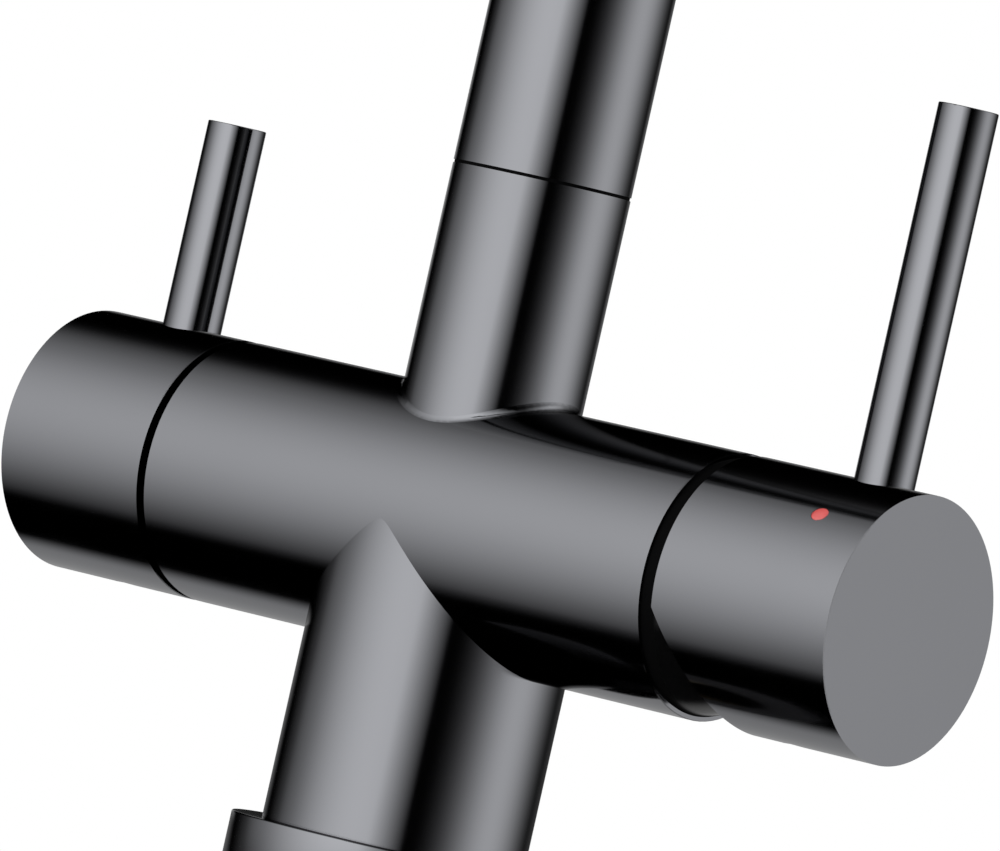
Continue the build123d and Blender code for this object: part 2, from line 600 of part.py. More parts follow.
def cartridge_nut():
    """Brass ring nut that holds the cartridge down; its boss carries the dome cover."""
    bore = COLLAR_DIAMETER / 2 + LOOSE
    end = NUT_END_X + NUT_BOSS_LENGTH
    nut = turned_across(
        [
            (SHOULDER_X, NUT_THREAD / 2 - FIT),
            (NUT_END_X, NUT_THREAD / 2 - FIT),
            (NUT_END_X, NUT_BOSS_DIAMETER / 2),
            (end, NUT_BOSS_DIAMETER / 2),
            (end, bore),
            (SHOULDER_X, bore),
        ]
    )
    # slots for the spanner, across the boss's end
    for angle in (0, 60, 120):
        slot = Box(2 * NUT_SLOT_DEPTH, NUT_BOSS_DIAMETER, NUT_SLOT_WIDTH)
        nut -= Pos(end, 0, AXIS_HEIGHT) * Rot(angle, 0, 0) * slot
    return nut


def dome_cover():
    """Spherical cover centred on the tilt pin, so that the handle's bore swings round it."""
    outer = DOME_RADIUS
    inner = DOME_RADIUS - DOME_WALL
    skirt_in = NUT_BOSS_DIAMETER / 2 + FIT
    skirt_out = skirt_in + DOME_WALL
    mouth = DOME_MOUTH / 2
    start = math.acos((BODY_RIGHT - PIVOT_X) / outer)
    outside = dome_arc(outer, start, math.asin(mouth / outer))
    front = dome_arc(inner, math.asin(mouth / inner), math.asin(skirt_in / inner))
    back = dome_arc(inner, math.asin(skirt_out / inner), math.acos((BODY_RIGHT - PIVOT_X) / inner))
    lip = Line(outside @ 1, front @ 0)
    skirt = Polyline(front @ 1, (BODY_RIGHT, skirt_in), (BODY_RIGHT, skirt_out), back @ 0)
    foot = Line(back @ 1, outside @ 0)
    outline = make_face([*outside.edges(), lip, *front.edges(), *skirt.edges(), *back.edges(), foot])
    return revolve(CROSS_PLANE * outline, CROSS_AXIS)


def dome_arc(radius, start, end):
    """An arc about the tilt pin in the (x, radius) plane, between two angles."""
    points = []
    for angle in (start, (start + end) / 2, end):
        points.append((PIVOT_X + radius * math.cos(angle), radius * math.sin(angle)))
    return ThreePointArc(*points)


def grub_screw(x, tip):
    """Headless socket screw from below the handle, its tip on the stem or spindle."""
    radius = GRUB_SCREW_DIAMETER / 2 - FIT
    screw = radial(radius, x, tip, tip + GRUB_SCREW_LENGTH, 180)
    socket = RegularPolygon(GRUB_SCREW_KEY / 2, 6, major_radius=False)
    head = AXIS_HEIGHT - tip - GRUB_SCREW_LENGTH
    key = Pos(x, 0, head) * extrude(socket, GRUB_SCREW_KEY_DEPTH)
    return screw - key


def handle_blank(rim, end):
    """The turned cylinder of a handle, with its rim and its outer edge chamfered."""
    blank = across(TUBE_RADIUS, rim, end)
    return chamfer(blank.edges().filter_by(GeomType.CIRCLE), EDGE_CHAMFER)


def lever_socket(x):
    """Spot-face and tapped hole for a lever in the crown of a handle."""
    seat = TUBE_RADIUS - LEVER_SEAT_DEPTH
    bottom = seat - LEVER_THREAD_LENGTH - LOOSE
    socket = radial(LEVER_DIAMETER / 2 + FIT, x, seat, TUBE_RADIUS + PAST, 0)
    return socket + radial(LEVER_THREAD / 2 + FIT, x, bottom, seat + PAST, 0)


def lever(x, top):
    """Plain round lever on its threaded spigot, with a lightly broken upper edge."""
    seat = TUBE_RADIUS - LEVER_SEAT_DEPTH
    rod = radial(LEVER_DIAMETER / 2, x, seat, top, 0)
    crown = rod.edges().filter_by(GeomType.CIRCLE).sort_by(Axis.Z)[-1]
    rod = chamfer(crown, EDGE_CHAMFER)
    return rod + radial(LEVER_THREAD / 2, x, seat - LEVER_THREAD_LENGTH, seat, 0)


def mixer_handle():
    """Hollow shell with the rim cut away below, so that it can tip over the dome."""
    shell = handle_blank(MIXER_RIM_X, MIXER_END_X)
    shell -= across(MIXER_BORE_RADIUS, MIXER_RIM_X, MIXER_CAVITY_X)
    half = STEM_SQUARE / 2 + FIT
    deep = MIXER_CAVITY_X + STEM_GRIP + SOCKET_SPARE
    shell -= block(MIXER_CAVITY_X, deep, -half, half, -half, half)
    shell -= lever_socket(MIXER_LEVER_X)
    shell -= radial(GRUB_SCREW_DIAMETER / 2, mixer_screw_x(), 0, TUBE_RADIUS + PAST, 180)
    for side in (-1, 1):
        shell -= index_dot_bar(INDEX_DOT_DIAMETER / 2 + FIT, side, TUBE_RADIUS + PAST)
    # the relief starts where the tipped rim would meet the body's end
    tilt = math.radians(TILT)
    offset = MIXER_RIM_X - PIVOT_X
    room = BODY_RIGHT - PIVOT_X + RELIEF_CLEARANCE
    start = (offset * math.cos(tilt) - room) / math.sin(tilt)
    slope = math.tan(math.radians(TILT + RELIEF_EXTRA_ANGLE))
    low = 2 * TUBE_RADIUS
    wedge = Polyline(
        (MIXER_RIM_X - PAST, -start),
        (MIXER_RIM_X, -start),
        (MIXER_RIM_X + slope * (low - start), -low),
        (MIXER_RIM_X - PAST, -low),
        close=True,
    )
    relief = extrude(CROSS_PLANE * make_face(wedge), TUBE_DIAMETER, both=True)
    return shell - relief


def mixer_screw_x():
    return MIXER_CAVITY_X + STEM_GRIP / 2


def index_dot_bar(radius, side, outer):
    inner = TUBE_RADIUS - INDEX_DOT_DEPTH
    return radial(radius, MIXER_LEVER_X + INDEX_DOT_PAST, inner, outer, side * INDEX_DOT_ANGLE)


def index_dot(side):
    """Enamelled inlay, flush with the shell: +1 is in front, -1 behind."""
    bar = index_dot_bar(INDEX_DOT_DIAMETER / 2, side, TUBE_RADIUS + PAST)
    return bar & across(TUBE_RADIUS, MIXER_RIM_X, MIXER_END_X)


# ---- Filtered water valve ----------------------------------------------------------------
def valve_body():
    hexagon = RegularPolygon(VALVE_FLATS / 2, 6, major_radius=False)
    place = Pos(NECK_X, 0, AXIS_HEIGHT) * Rot(0, 90, 0)
    shape = place * extrude(hexagon, VALVE_HEX_LENGTH)
    shape += across(VALVE_NECK_DIAMETER / 2, SPINDLE_SHOULDER_X, NECK_X)
    shape += across(VALVE_BORE / 2 - FIT, HEX_X, BARREL_X)
    shape += across(VALVE_BARREL_DIAMETER / 2, BARREL_X, VALVE_FLOOR_X - LOOSE)
    shape -= across(VALVE_CHAMBER_DIAMETER / 2, CHAMBER_X, VALVE_FLOOR_X)
    shape -= across(SPINDLE_DIAMETER / 2, SPINDLE_SHOULDER_X, CHAMBER_X)
    # side windows that let the filtered water out above the discs
    wide = VALVE_WINDOW / 2
    window = block(TANG_X, FILTER_MOVING_X, -wide, wide, -VALVE_BARREL_DIAMETER, VALVE_BARREL_DIAMETER)
    return shape - window


def filter_disc(x, turned):
    """Ceramic disc with two round ports, in line with the other disc's only when open."""
    disc = across(VALVE_CHAMBER_DIAMETER / 2 - FIT, x, x + FILTER_DISC_THICKNESS)
    for side in (-1, 1):
        y = side * FILTER_DISC_PITCH * (1 - turned)
        up = side * FILTER_DISC_PITCH * turned
        disc -= across(FILTER_DISC_PORT / 2, x, x + FILTER_DISC_THICKNESS, y=y, up=up)
    return disc


def filter_fixed_disc():
    return filter_disc(FILTER_FIXED_X, 0)


def filter_moving_disc():
    disc = filter_disc(FILTER_MOVING_X, 1)
    return disc - spindle_key(SPINDLE_KEY / 2 + FIT, SPINDLE_KEY_DEPTH + FIT)


def spindle_key(half, depth):
    """The key across the tang's face, which turns the moving disc."""
    reach = VALVE_CHAMBER_DIAMETER
    return block(FILTER_MOVING_X, FILTER_MOVING_X + depth, -reach, reach, -half, half)


def filter_seat_seal():
    outer = VALVE_CHAMBER_DIAMETER / 2 - FIT
    start = VALVE_FLOOR_X - SEAT_SEAL_HEIGHT
    return across(outer, start, VALVE_FLOOR_X, bore=outer - SEAT_SEAL_WIDTH)


def spindle_ring_places():
    middle = (CHAMBER_X + SPINDLE_SHOULDER_X) / 2
    return (middle - RING_SPACING / 2, middle + RING_SPACING / 2)


def filter_spindle():
    radius = SPINDLE_DIAMETER / 2 - FIT
    tang_radius = VALVE_CHAMBER_DIAMETER / 2 - LOOSE
    tang = across(tang_radius, TANG_X, FILTER_MOVING_X)
    reach = VALVE_CHAMBER_DIAMETER
    flat = SPINDLE_TANG_WIDTH / 2
    tang &= block(TANG_X, FILTER_MOVING_X, -reach, reach, -flat, flat)
    key = spindle_key(SPINDLE_KEY / 2, SPINDLE_KEY_DEPTH) & across(
        tang_radius, FILTER_MOVING_X, FILTER_FIXED_X
    )
    grip_end = FILTER_CAVITY_X - SPINDLE_GRIP
    shape = tang + key + across(radius, SPINDLE_SHOULDER_X - SPINDLE_COLLAR, TANG_X)
    shape += across(SPINDLE_END_DIAMETER / 2, grip_end, SPINDLE_SHOULDER_X)
    section = SPINDLE_RING_SECTION
    for x in spindle_ring_places():
        shape -= across(radius + PAST, x - section / 2, x + section / 2, bore=radius - section + FIT)
    start = SPINDLE_SHOULDER_X - CIRCLIP_THICKNESS - FIT
    groove = SPINDLE_END_DIAMETER / 2
    return shape - across(radius + PAST, start, SPINDLE_SHOULDER_X, bore=groove)


def spindle_rings():
    section = SPINDLE_RING_SECTION - 2 * FIT
    major = SPINDLE_DIAMETER / 2 - FIT - section / 2 - FIT / 2
    first, second = spindle_ring_places()
    return ring_about_x(major, section, first) + ring_about_x(major, section, second)


def spindle_circlip():
    """Open spring ring in the spindle's groove, against the end of the valve's neck."""
    inner = SPINDLE_END_DIAMETER / 2 + FIT / 2
    start = SPINDLE_SHOULDER_X - CIRCLIP_THICKNESS
    end = SPINDLE_SHOULDER_X - FACE_GAP
    ring = across(inner + CIRCLIP_WIDTH, start, end, bore=inner)
    gap = CIRCLIP_GAP / 2
    return ring - block(start, end, -gap, gap, 0, 2 * SPINDLE_DIAMETER)


def filter_handle():
    shell = handle_blank(FILTER_END_X, FILTER_RIM_X)
    shell -= across(TUBE_RADIUS - FILTER_RIM_WALL, FILTER_CAVITY_X, FILTER_RIM_X)
    deep = FILTER_CAVITY_X - SPINDLE_GRIP - SOCKET_SPARE
    shell -= across(SPINDLE_END_DIAMETER / 2 + FIT, deep, FILTER_CAVITY_X)
    shell -= lever_socket(FILTER_LEVER_X)
    return shell - radial(GRUB_SCREW_DIAMETER / 2, filter_screw_x(), 0, TUBE_RADIUS + PAST, 180)


def filter_screw_x():
    return FILTER_CAVITY_X - SPINDLE_GRIP / 2


# ---- Spout -------------------------------------------------------------------------------
def neck_path(low, tip):
    """The swan neck's centre line: up from one height, over, and down to another."""
    rise = Line((0, 0, low), (0, 0, BEND_HEIGHT))
    middle = (0, -BEND_RADIUS, BEND_HEIGHT + BEND_RADIUS)
    bend = ThreePointArc((0, 0, BEND_HEIGHT), middle, (0, OUTLET_Y, BEND_HEIGHT))
    fall = Line((0, OUTLET_Y, BEND_HEIGHT), (0, OUTLET_Y, tip))
    return Wire([rise.edge(), bend.edge(), fall.edge()])


def swept_pipe(radius, wall, low, tip):
    section = Pos(0, 0, low) * (Circle(radius) - Circle(radius - wall))
    return sweep(section, path=neck_path(low, tip))


def spout_tube():
    return swept_pipe(SPOUT_RADIUS, SPOUT_WALL, SPOUT_FOOT, OUTLET_HEIGHT)


def swivel_groove_heights():
    return (UPPER_RING_Z - RING_SPACING, UPPER_RING_Z)


def swivel_stub():
    """Brass stub brazed into the spout's foot, which turns in the riser's bore."""
    bore = STUB_RADIUS - STUB_WALL
    stub = upright(SPOUT_BORE_RADIUS - FIT, SPOUT_FOOT, SPOUT_FOOT + STUB_UPPER)
    stub += upright(STUB_RADIUS, STUB_FOOT, SPOUT_FOOT)
    stub -= upright(bore, STUB_FOOT, SPOUT_FOOT + STUB_UPPER)
    for z in swivel_groove_heights():
        bottom = STUB_RADIUS - RING_SECTION + FIT
        stub -= upright(STUB_RADIUS + PAST, z - RING_SECTION / 2, z + RING_SECTION / 2, bore=bottom)
    half = RETAINING_GROOVE_WIDTH / 2
    bottom = STUB_RADIUS - RETAINING_GROOVE_DEPTH
    stub -= upright(STUB_RADIUS + PAST, GROOVE_HEIGHT - half, GROOVE_HEIGHT + half, bore=bottom)
    return stub


def swivel_rings():
    section = RING_SECTION - 2 * FIT
    major = STUB_RADIUS - section / 2 - FIT / 2
    first, second = swivel_groove_heights()
    return Pos(0, 0, first) * Torus(major, section / 2) + Pos(0, 0, second) * Torus(major, section / 2)


def slip_ring():
    """Plastic washer in the seam, which the spout turns on."""
    outer = RISER_DIAMETER / 2 - SEAM_INSET
    return upright(outer, RISER_TOP, SPOUT_FOOT - FACE_GAP, bore=RISER_BORE / 2)


def retaining_screw():
    """Headless screw in the back of the riser, its tip in the stub's groove."""
    tip = RETAINING_GROOVE_WIDTH / 2 - FIT
    start = STUB_RADIUS - RETAINING_GROOVE_DEPTH + LOOSE
    thread = RISER_BORE / 2 + FIT
    place = Pos(0, 0, GROOVE_HEIGHT) * Rot(-90, 0, 0)
    end = start + RETAINING_SCREW_LENGTH
    screw = place * Pos(0, 0, start) * Cylinder(tip, RETAINING_SCREW_LENGTH, align=FROM_BELOW)
    radius = GRUB_SCREW_DIAMETER / 2 - FIT
    screw += place * Pos(0, 0, thread) * Cylinder(radius, end - thread, align=FROM_BELOW)
    depth = (end - thread) / 2
    key = extrude(RegularPolygon(GRUB_SCREW_KEY / 2, 6, major_radius=False), depth)
    return screw - place * Pos(0, 0, end - depth) * key


def inner_tube():
    return swept_pipe(INNER_TUBE_RADIUS, INNER_TUBE_WALL, TUBE_FOOT, TUBE_TIP - FACE_GAP)


def inner_tube_ring():
    section = TUBE_RING_SECTION - 2 * FIT
    major = INNER_TUBE_RADIUS + section / 2 + FIT / 2
    return Pos(0, 0, TUBE_RING_Z) * Torus(major, section / 2)


# ---- Outlet ------------------------------------------------------------------------------
def round_outlet(radius, low, high, bore=0.0):
    return upright(radius, low, high, bore=bore, y=OUTLET_Y)


def outlet_fitting():
    """Brass fitting in the spout's end: a thread below, a holed web and a hub above it."""
    outer = SPOUT_BORE_RADIUS - FIT
    hub = INNER_TUBE_RADIUS + INNER_TUBE_WALL + FIT
    top = TUBE_TIP + INNER_TUBE_SOCKET
    shape = round_outlet(outer, OUTLET_HEIGHT, TUBE_TIP)
    shape -= round_outlet(AERATOR_THREAD / 2, OUTLET_HEIGHT, WEB_HEIGHT)
    shape += round_outlet(hub, TUBE_TIP - FITTING_WEB / 2, top)
    shape -= round_outlet(INNER_TUBE_RADIUS + FIT, TUBE_TIP - FACE_GAP, top)
    shape -= round_outlet(INNER_TUBE_RADIUS - INNER_TUBE_WALL, WEB_HEIGHT, top)
    pitch = (hub + AERATOR_THREAD / 2) / 2
    for turn in range(OUTLET_WAY_COUNT):
        angle = math.tau * turn / OUTLET_WAY_COUNT
        x = pitch * math.cos(angle)
        y = OUTLET_Y + pitch * math.sin(angle)
        shape -= upright(OUTLET_WAY / 2, WEB_HEIGHT, TUBE_TIP, x=x, y=y)
    return shape


def aerator_housing():
    top = WEB_HEIGHT - OUTLET_SEAL_HEIGHT
    bore = AERATOR_THREAD / 2 - AERATOR_WALL
    low = OUTLET_HEIGHT - AERATOR_FLANGE
    flange = AERATOR_FLANGE_DIAMETER / 2
    housing = turned_upright(
        [
            (bore, low),
            (flange - EDGE_CHAMFER, low),
            (flange, low + EDGE_CHAMFER),
            (flange, OUTLET_HEIGHT),
            (AERATOR_THREAD / 2 - FIT, OUTLET_HEIGHT),
            (AERATOR_THREAD / 2 - FIT, top),
            (bore, top),
        ],
        y=OUTLET_Y,
    )
    reach = AERATOR_FLANGE_DIAMETER
    flats = Box(AERATOR_FLATS, reach, 4 * AERATOR_FLANGE)
    return housing & (Pos(0, OUTLET_Y, low) * flats + round_outlet(flange - PAST, low, top + PAST))


def outlet_seal():
    outer = AERATOR_THREAD / 2 - FIT
    return round_outlet(outer, WEB_HEIGHT - OUTLET_SEAL_HEIGHT, WEB_HEIGHT, bore=outer - AERATOR_WALL)


def aerator_insert():
    """Plastic ring of small holes for the mixed water, round the filtered water's nozzle."""
    low = OUTLET_HEIGHT - AERATOR_FLANGE + INSERT_RECESS
    high = low + INSERT_LENGTH
    outer = AERATOR_THREAD / 2 - AERATOR_WALL - FIT
    insert = round_outlet(outer, low, high, bore=NOZZLE_DIAMETER / 2 + FIT)
    for pitch, count, hole in INSERT_ROWS:
        for turn in range(count):
            angle = math.tau * turn / count
            x = pitch * math.cos(angle)
            y = OUTLET_Y + pitch * math.sin(angle)
            insert -= upright(hole, low, high, x=x, y=y)
    return insert


def filter_nozzle():
    """Plastic nozzle that carries the filtered water through the middle of the aerator."""
    low = OUTLET_HEIGHT - AERATOR_FLANGE - NOZZLE_PROUD
    return round_outlet(NOZZLE_DIAMETER / 2, low, WEB_HEIGHT, bore=NOZZLE_BORE / 2)


# ---- All pieces --------------------------------------------------------------------------
PIECES = {
    "body": body,
    "base_ring": base_ring,
    "base_seal": base_seal,
    "mounting_shank": mounting_shank,
    "rubber_washer": rubber_washer,
    "clamp_washer": clamp_washer,
    "back_nut": back_nut,
    "cartridge_housing": cartridge_housing,
    "cartridge_plate": cartridge_plate,
    "port_seals": port_seals,
    "fixed_disc": fixed_disc,
    "moving_disc": moving_disc,
    "disc_carrier": disc_carrier,
    "rotor": rotor,
    "rotor_seal": rotor_seal,
    "pivot_pin": pivot_pin,
    "lever_stem": lever_stem,
    "cartridge_nut": cartridge_nut,
    "dome_cover": dome_cover,
    "mixer_handle": mixer_handle,
    "mixer_lever": lambda: lever(MIXER_LEVER_X, MIXER_LEVER_TOP),
    "mixer_grub_screw": lambda: grub_screw(mixer_screw_x(), STEM_SQUARE / 2),
    "hot_index_dot": lambda: index_dot(1),
    "cold_index_dot": lambda: index_dot(-1),
    "valve_body": valve_body,
    "filter_fixed_disc": filter_fixed_disc,
    "filter_moving_disc": filter_moving_disc,
    "filter_seat_seal": filter_seat_seal,
    "filter_spindle": filter_spindle,
    "spindle_rings": spindle_rings,
    "spindle_circlip": spindle_circlip,
    "filter_handle": filter_handle,
    "filter_lever": lambda: lever(FILTER_LEVER_X, FILTER_LEVER_TOP),
    "filter_grub_screw": lambda: grub_screw(filter_screw_x(), SPINDLE_END_DIAMETER / 2),
    "spout_tube": spout_tube,
    "swivel_stub": swivel_stub,
    "swivel_rings": swivel_rings,
    "slip_ring": slip_ring,
    "retaining_screw": retaining_screw,
    "inner_tube": inner_tube,
    "inner_tube_ring": inner_tube_ring,
    "outlet_fitting": outlet_fitting,
    "outlet_seal": outlet_seal,
    "aerator_housing": aerator_housing,
    "aerator_insert": aerator_insert,
    "filter_nozzle": filter_nozzle,
}

os.makedirs("parts", exist_ok=True)
for name, make in PIECES.items():
    export_step(make(), f"parts/{name}.step")
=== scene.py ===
# %% [markdown]
# # A worktop tap with three ways of water
#
# The tap is a column on a round base, a cross tube that carries a handle at each end, and a
# swan neck spout. The right handle mixes hot and cold water, and the left one opens a separate
# way for filtered water. All of it is plated in a dark, mirror-bright gunmetal finish.
#
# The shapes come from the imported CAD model, which is loaded first and never moved. This lesson
# gives those shapes their finishes, adds the fine work that a CAD model leaves plain, such as
# the cut thread of the shank, and builds the studio in which the tap is photographed.

# %% Load the tap and remember its size
import math

import bmesh
import bpy
from mathutils import Matrix, Vector


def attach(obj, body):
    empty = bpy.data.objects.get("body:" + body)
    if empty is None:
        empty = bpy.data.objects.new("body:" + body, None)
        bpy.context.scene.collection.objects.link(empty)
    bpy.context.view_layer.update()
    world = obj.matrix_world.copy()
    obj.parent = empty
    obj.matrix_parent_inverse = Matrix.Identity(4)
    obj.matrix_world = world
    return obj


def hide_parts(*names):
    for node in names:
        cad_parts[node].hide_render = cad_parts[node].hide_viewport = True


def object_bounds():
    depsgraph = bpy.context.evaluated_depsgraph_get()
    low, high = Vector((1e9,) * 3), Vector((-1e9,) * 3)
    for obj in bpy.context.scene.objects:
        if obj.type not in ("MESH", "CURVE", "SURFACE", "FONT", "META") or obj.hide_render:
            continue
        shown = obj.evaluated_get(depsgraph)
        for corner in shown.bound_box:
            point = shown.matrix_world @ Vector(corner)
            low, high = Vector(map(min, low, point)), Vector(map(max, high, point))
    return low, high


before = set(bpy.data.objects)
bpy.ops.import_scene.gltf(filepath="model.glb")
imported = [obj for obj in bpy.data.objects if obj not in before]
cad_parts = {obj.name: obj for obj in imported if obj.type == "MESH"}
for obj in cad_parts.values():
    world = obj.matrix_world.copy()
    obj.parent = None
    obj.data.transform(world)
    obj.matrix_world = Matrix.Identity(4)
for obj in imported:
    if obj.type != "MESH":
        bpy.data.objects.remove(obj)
cad_low, cad_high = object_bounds()
MM = 0.001
print("pieces from the CAD model:", len(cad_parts))
print("size in mm:", [round(side / MM, 1) for side in cad_high - cad_low])

# %% [markdown]
# ## The camera
#
# The photograph is a close view of the tap's middle through a very long lens, from the front
# and 38 degrees to the right. The camera was also turned by almost 13 degrees about its own
# line of sight, so the tap leans in the picture. A long lens keeps upright edges parallel.
# The camera is built from its three own directions, because that states the lean exactly.

# %% Aim the camera
AXIS_HEIGHT = 67.2 * MM  # the cross tube's axis above the worktop
CAMERA_TURN = math.radians(38.12)
CAMERA_RISE = math.radians(0.11)
CAMERA_LEAN = math.radians(12.66)
CAMERA_DISTANCE = 2.1564
AIM_RIGHT = 2.22  # mm from the tap's own axis
AIM_RISE = 18.81  # mm above the cross tube's axis
SENSOR_WIDTH = 36
FOCAL_LENGTH = 441.76


def toward(turn, rise):
    """The direction from the tap towards a place at this turn to the right and this rise."""
    flat = math.cos(rise)
    return Vector((math.sin(turn) * flat, -math.cos(turn) * flat, math.sin(rise)))


def added(name, data):
    """Puts a new object into the scene."""
    made = bpy.data.objects.new(name, data)
    bpy.context.scene.collection.objects.link(made)
    return made


back = toward(CAMERA_TURN, CAMERA_RISE)
level = Vector((math.cos(CAMERA_TURN), math.sin(CAMERA_TURN), 0))
rising = back.cross(level)
right = level * math.cos(CAMERA_LEAN) + rising * math.sin(CAMERA_LEAN)
up = rising * math.cos(CAMERA_LEAN) - level * math.sin(CAMERA_LEAN)
aim = level * AIM_RIGHT * MM + Vector((0, 0, AXIS_HEIGHT + AIM_RISE * MM))

camera = added("camera", bpy.data.cameras.new("camera"))
place = Matrix((right, up, back)).transposed().to_4x4()
place.translation = aim + back * CAMERA_DISTANCE
camera.matrix_world = place
camera.data.sensor_width = SENSOR_WIDTH
camera.data.lens = FOCAL_LENGTH
camera.data.clip_start = 0.1
camera.data.clip_end = 60
bpy.context.scene.camera = camera
print("camera stands at", [round(v, 3) for v in camera.location])

# %% [markdown]
# ## Words for building node trees
#
# Finishes, lights and repeated shapes are all node trees. A few small helpers keep the trees
# readable. One places a node, one wires or sets a socket, and one does both and returns the
# answer. Others give the place of each spot and mix two colours. Three more write arithmetic
# on numbers, arithmetic on vectors and a soft step as if they were a formula. The last two
# open a new group with named sockets, and place such a group in a tree.

# %% Place nodes and wire them


def put(tree, kind, **settings):
    """Places one node and sets its options."""
    made = tree.nodes.new(kind)
    for name, value in settings.items():
        setattr(made, name, value)
    return made


def feed(tree, socket, value):
    """Wires the socket to another one, or sets it to a plain value."""
    if isinstance(value, bpy.types.NodeSocket):
        tree.links.new(value, socket)
    else:
        socket.default_value = value


def result(tree, kind, **values):
    """Places a node, feeds its sockets by name, with _ for a space, and returns its answer."""
    made = put(tree, kind)
    for name, value in values.items():
        feed(tree, made.inputs[name.replace("_", " ")], value)
    return made.outputs[0]


def own_place(tree):
    """The place of each spot in the object's own space."""
    return put(tree, "ShaderNodeTexCoord").outputs["Object"]


def mixed_colour(tree, factor, first, second):
    """Goes from the first colour to the second while the factor goes from 0 to 1."""
    made = put(tree, "ShaderNodeMix", data_type="RGBA")
    for socket, value in ((0, factor), (6, first), (7, second)):  # a colour mix's own sockets
        feed(tree, made.inputs[socket], value)
    return made.outputs[2]


# %% Write arithmetic as nodes


def maths(tree, operation, *values, clamp=False):
    """Arithmetic on numbers: returns the socket of the answer."""
    made = put(tree, "ShaderNodeMath", operation=operation, use_clamp=clamp)
    for socket, value in zip(made.inputs, values):
        feed(tree, socket, value)
    return made.outputs[0]


def vectors(tree, operation, *values):
    """Arithmetic on vectors. A SCALE takes a vector and a number."""
    made = put(tree, "ShaderNodeVectorMath", operation=operation)
    sockets = [made.inputs[0], made.inputs[3 if operation == "SCALE" else 1]]
    for socket, value in zip(sockets, values):
        feed(tree, socket, value)
    number = operation in ("DOT_PRODUCT", "LENGTH", "DISTANCE")
    return made.outputs["Value" if number else "Vector"]


def smooth_step(tree, value, start, end, low=0.0, high=1.0):
    """Goes smoothly from low to high while the value goes from start to end."""
    made = put(tree, "ShaderNodeMapRange", interpolation_type="SMOOTHSTEP")
    for name, number in zip(("Value", "From Min", "From Max", "To Min", "To Max"),
                            (value, start, end, low, high)):
        feed(tree, made.inputs[name], number)
    return made.outputs["Result"]


# %% Open a group and use it


def new_group(name, inputs, outputs, kind="ShaderNodeTree"):
    """Opens a group and returns it with its input and output sockets."""
    tree = bpy.data.node_groups.new(name, kind)
    for title, socket, value in inputs:
        made = tree.interface.new_socket(title, in_out="INPUT", socket_type="NodeSocket" + socket)
        if value is not None:
            made.default_value = value
    for title, socket in outputs:
        tree.interface.new_socket(title, in_out="OUTPUT", socket_type="NodeSocket" + socket)
    entry = put(tree, "NodeGroupInput")
    leave = put(tree, "NodeGroupOutput")
    print("new group:", name, "with", len(inputs), "inputs")
    return tree, entry.outputs, leave.inputs


def use_group(tree, group, **values):
    """Places a group with its own values, again with _ for a space."""
    made = put(tree, "ShaderNodeGroup", node_tree=group)
    for name, value in values.items():
        feed(tree, made.inputs[name.replace("_", " ")], value)
    return made.outputs


# %% [markdown]
# ## The light tent
#
# A mirror-bright tube shows nothing of its own: every tone on it is a reflection of the room.
# Product photographers therefore hang a tent round the object and light its walls. Here the
# tent is one large sphere with a few soft lights on it: a broad one straight in front, cut off
# by a dark card on its right, a narrow one at the right and behind, and smaller ones low
# behind, high behind, far left and high on the left. The wall between the first two stays dark
# and draws the black line down each tube. The wall straight above stays dark as well.
#
# Separate lamps would do too, but the walls of a tent fall off as gently as the photograph's
# tones do, and they look the same from every point of the tap. The tent is hidden from the
# camera, which sees the plain white world behind it.

# %% One soft light on the tent's wall
soft_light, given, answer = new_group(
    "soft_light",
    [("Direction", "Vector", None), ("Aim", "Vector", None),
     ("Sharpness", "Float", 2.0), ("Strength", "Float", 1.0)],
    [("Light", "Float")],
)
facing = maths(soft_light, "MAXIMUM",
               vectors(soft_light, "DOT_PRODUCT", given["Direction"], given["Aim"]), 0.0)
glow = maths(soft_light, "POWER", facing, given["Sharpness"])
feed(soft_light, answer["Light"], maths(soft_light, "MULTIPLY", glow, given["Strength"]))

# %% [markdown]
# The dark card is a mask with a soft edge: it leaves the light whole on one side of an upright
# plane, and takes it away over a short way before that plane.

# %% The dark card beside the front light
dark_card, given, answer = new_group(
    "dark_card",
    [("Direction", "Vector", None), ("Facing", "Vector", None), ("Softness", "Float", 0.5)],
    [("Mask", "Float")],
)
beyond = vectors(dark_card, "DOT_PRODUCT", given["Direction"], given["Facing"])
past = maths(dark_card, "DIVIDE", beyond, given["Softness"])
feed(dark_card, answer["Mask"], maths(dark_card, "MULTIPLY", past, -1.0, clamp=True))

# %% Paint the soft lights on the wall
tent_wall = bpy.data.materials.new("tent_wall")
tent_wall.use_nodes = True
tree = tent_wall.node_tree
tree.nodes.clear()
direction = vectors(tree, "NORMALIZE", own_place(tree))
height = vectors(tree, "DOT_PRODUCT", direction, (0, 0, 1))


def aimed(turn, rise):
    """The direction for a turn and a rise in degrees."""
    return toward(math.radians(turn), math.radians(rise))


def alike(turn, rise):
    """How well each spot lies that way: 1 straight at it, 0 square to it."""
    return vectors(tree, "DOT_PRODUCT", direction, aimed(turn, rise))


SOFT_LIGHTS = {
    # turn and rise in degrees, sharpness, strength
    "front": (1.7, 21.6, 1.45, 1.26),
    "strip": (124.1, -1.2, 5.48, 0.869),
    "far_left": (-79.0, 1.7, 28.7, 0.10),
    "brow": (-95.7, 51.7, 68.0, 0.075),
    "high_behind": (140, 55, 12.0, 0.80),
}
lights = {}
for name, (turn, rise, sharpness, strength) in SOFT_LIGHTS.items():
    lights[name] = use_group(tree, soft_light, Direction=direction, Aim=aimed(turn, rise),
                             Sharpness=sharpness, Strength=strength)["Light"]
print("soft lights:", list(lights))

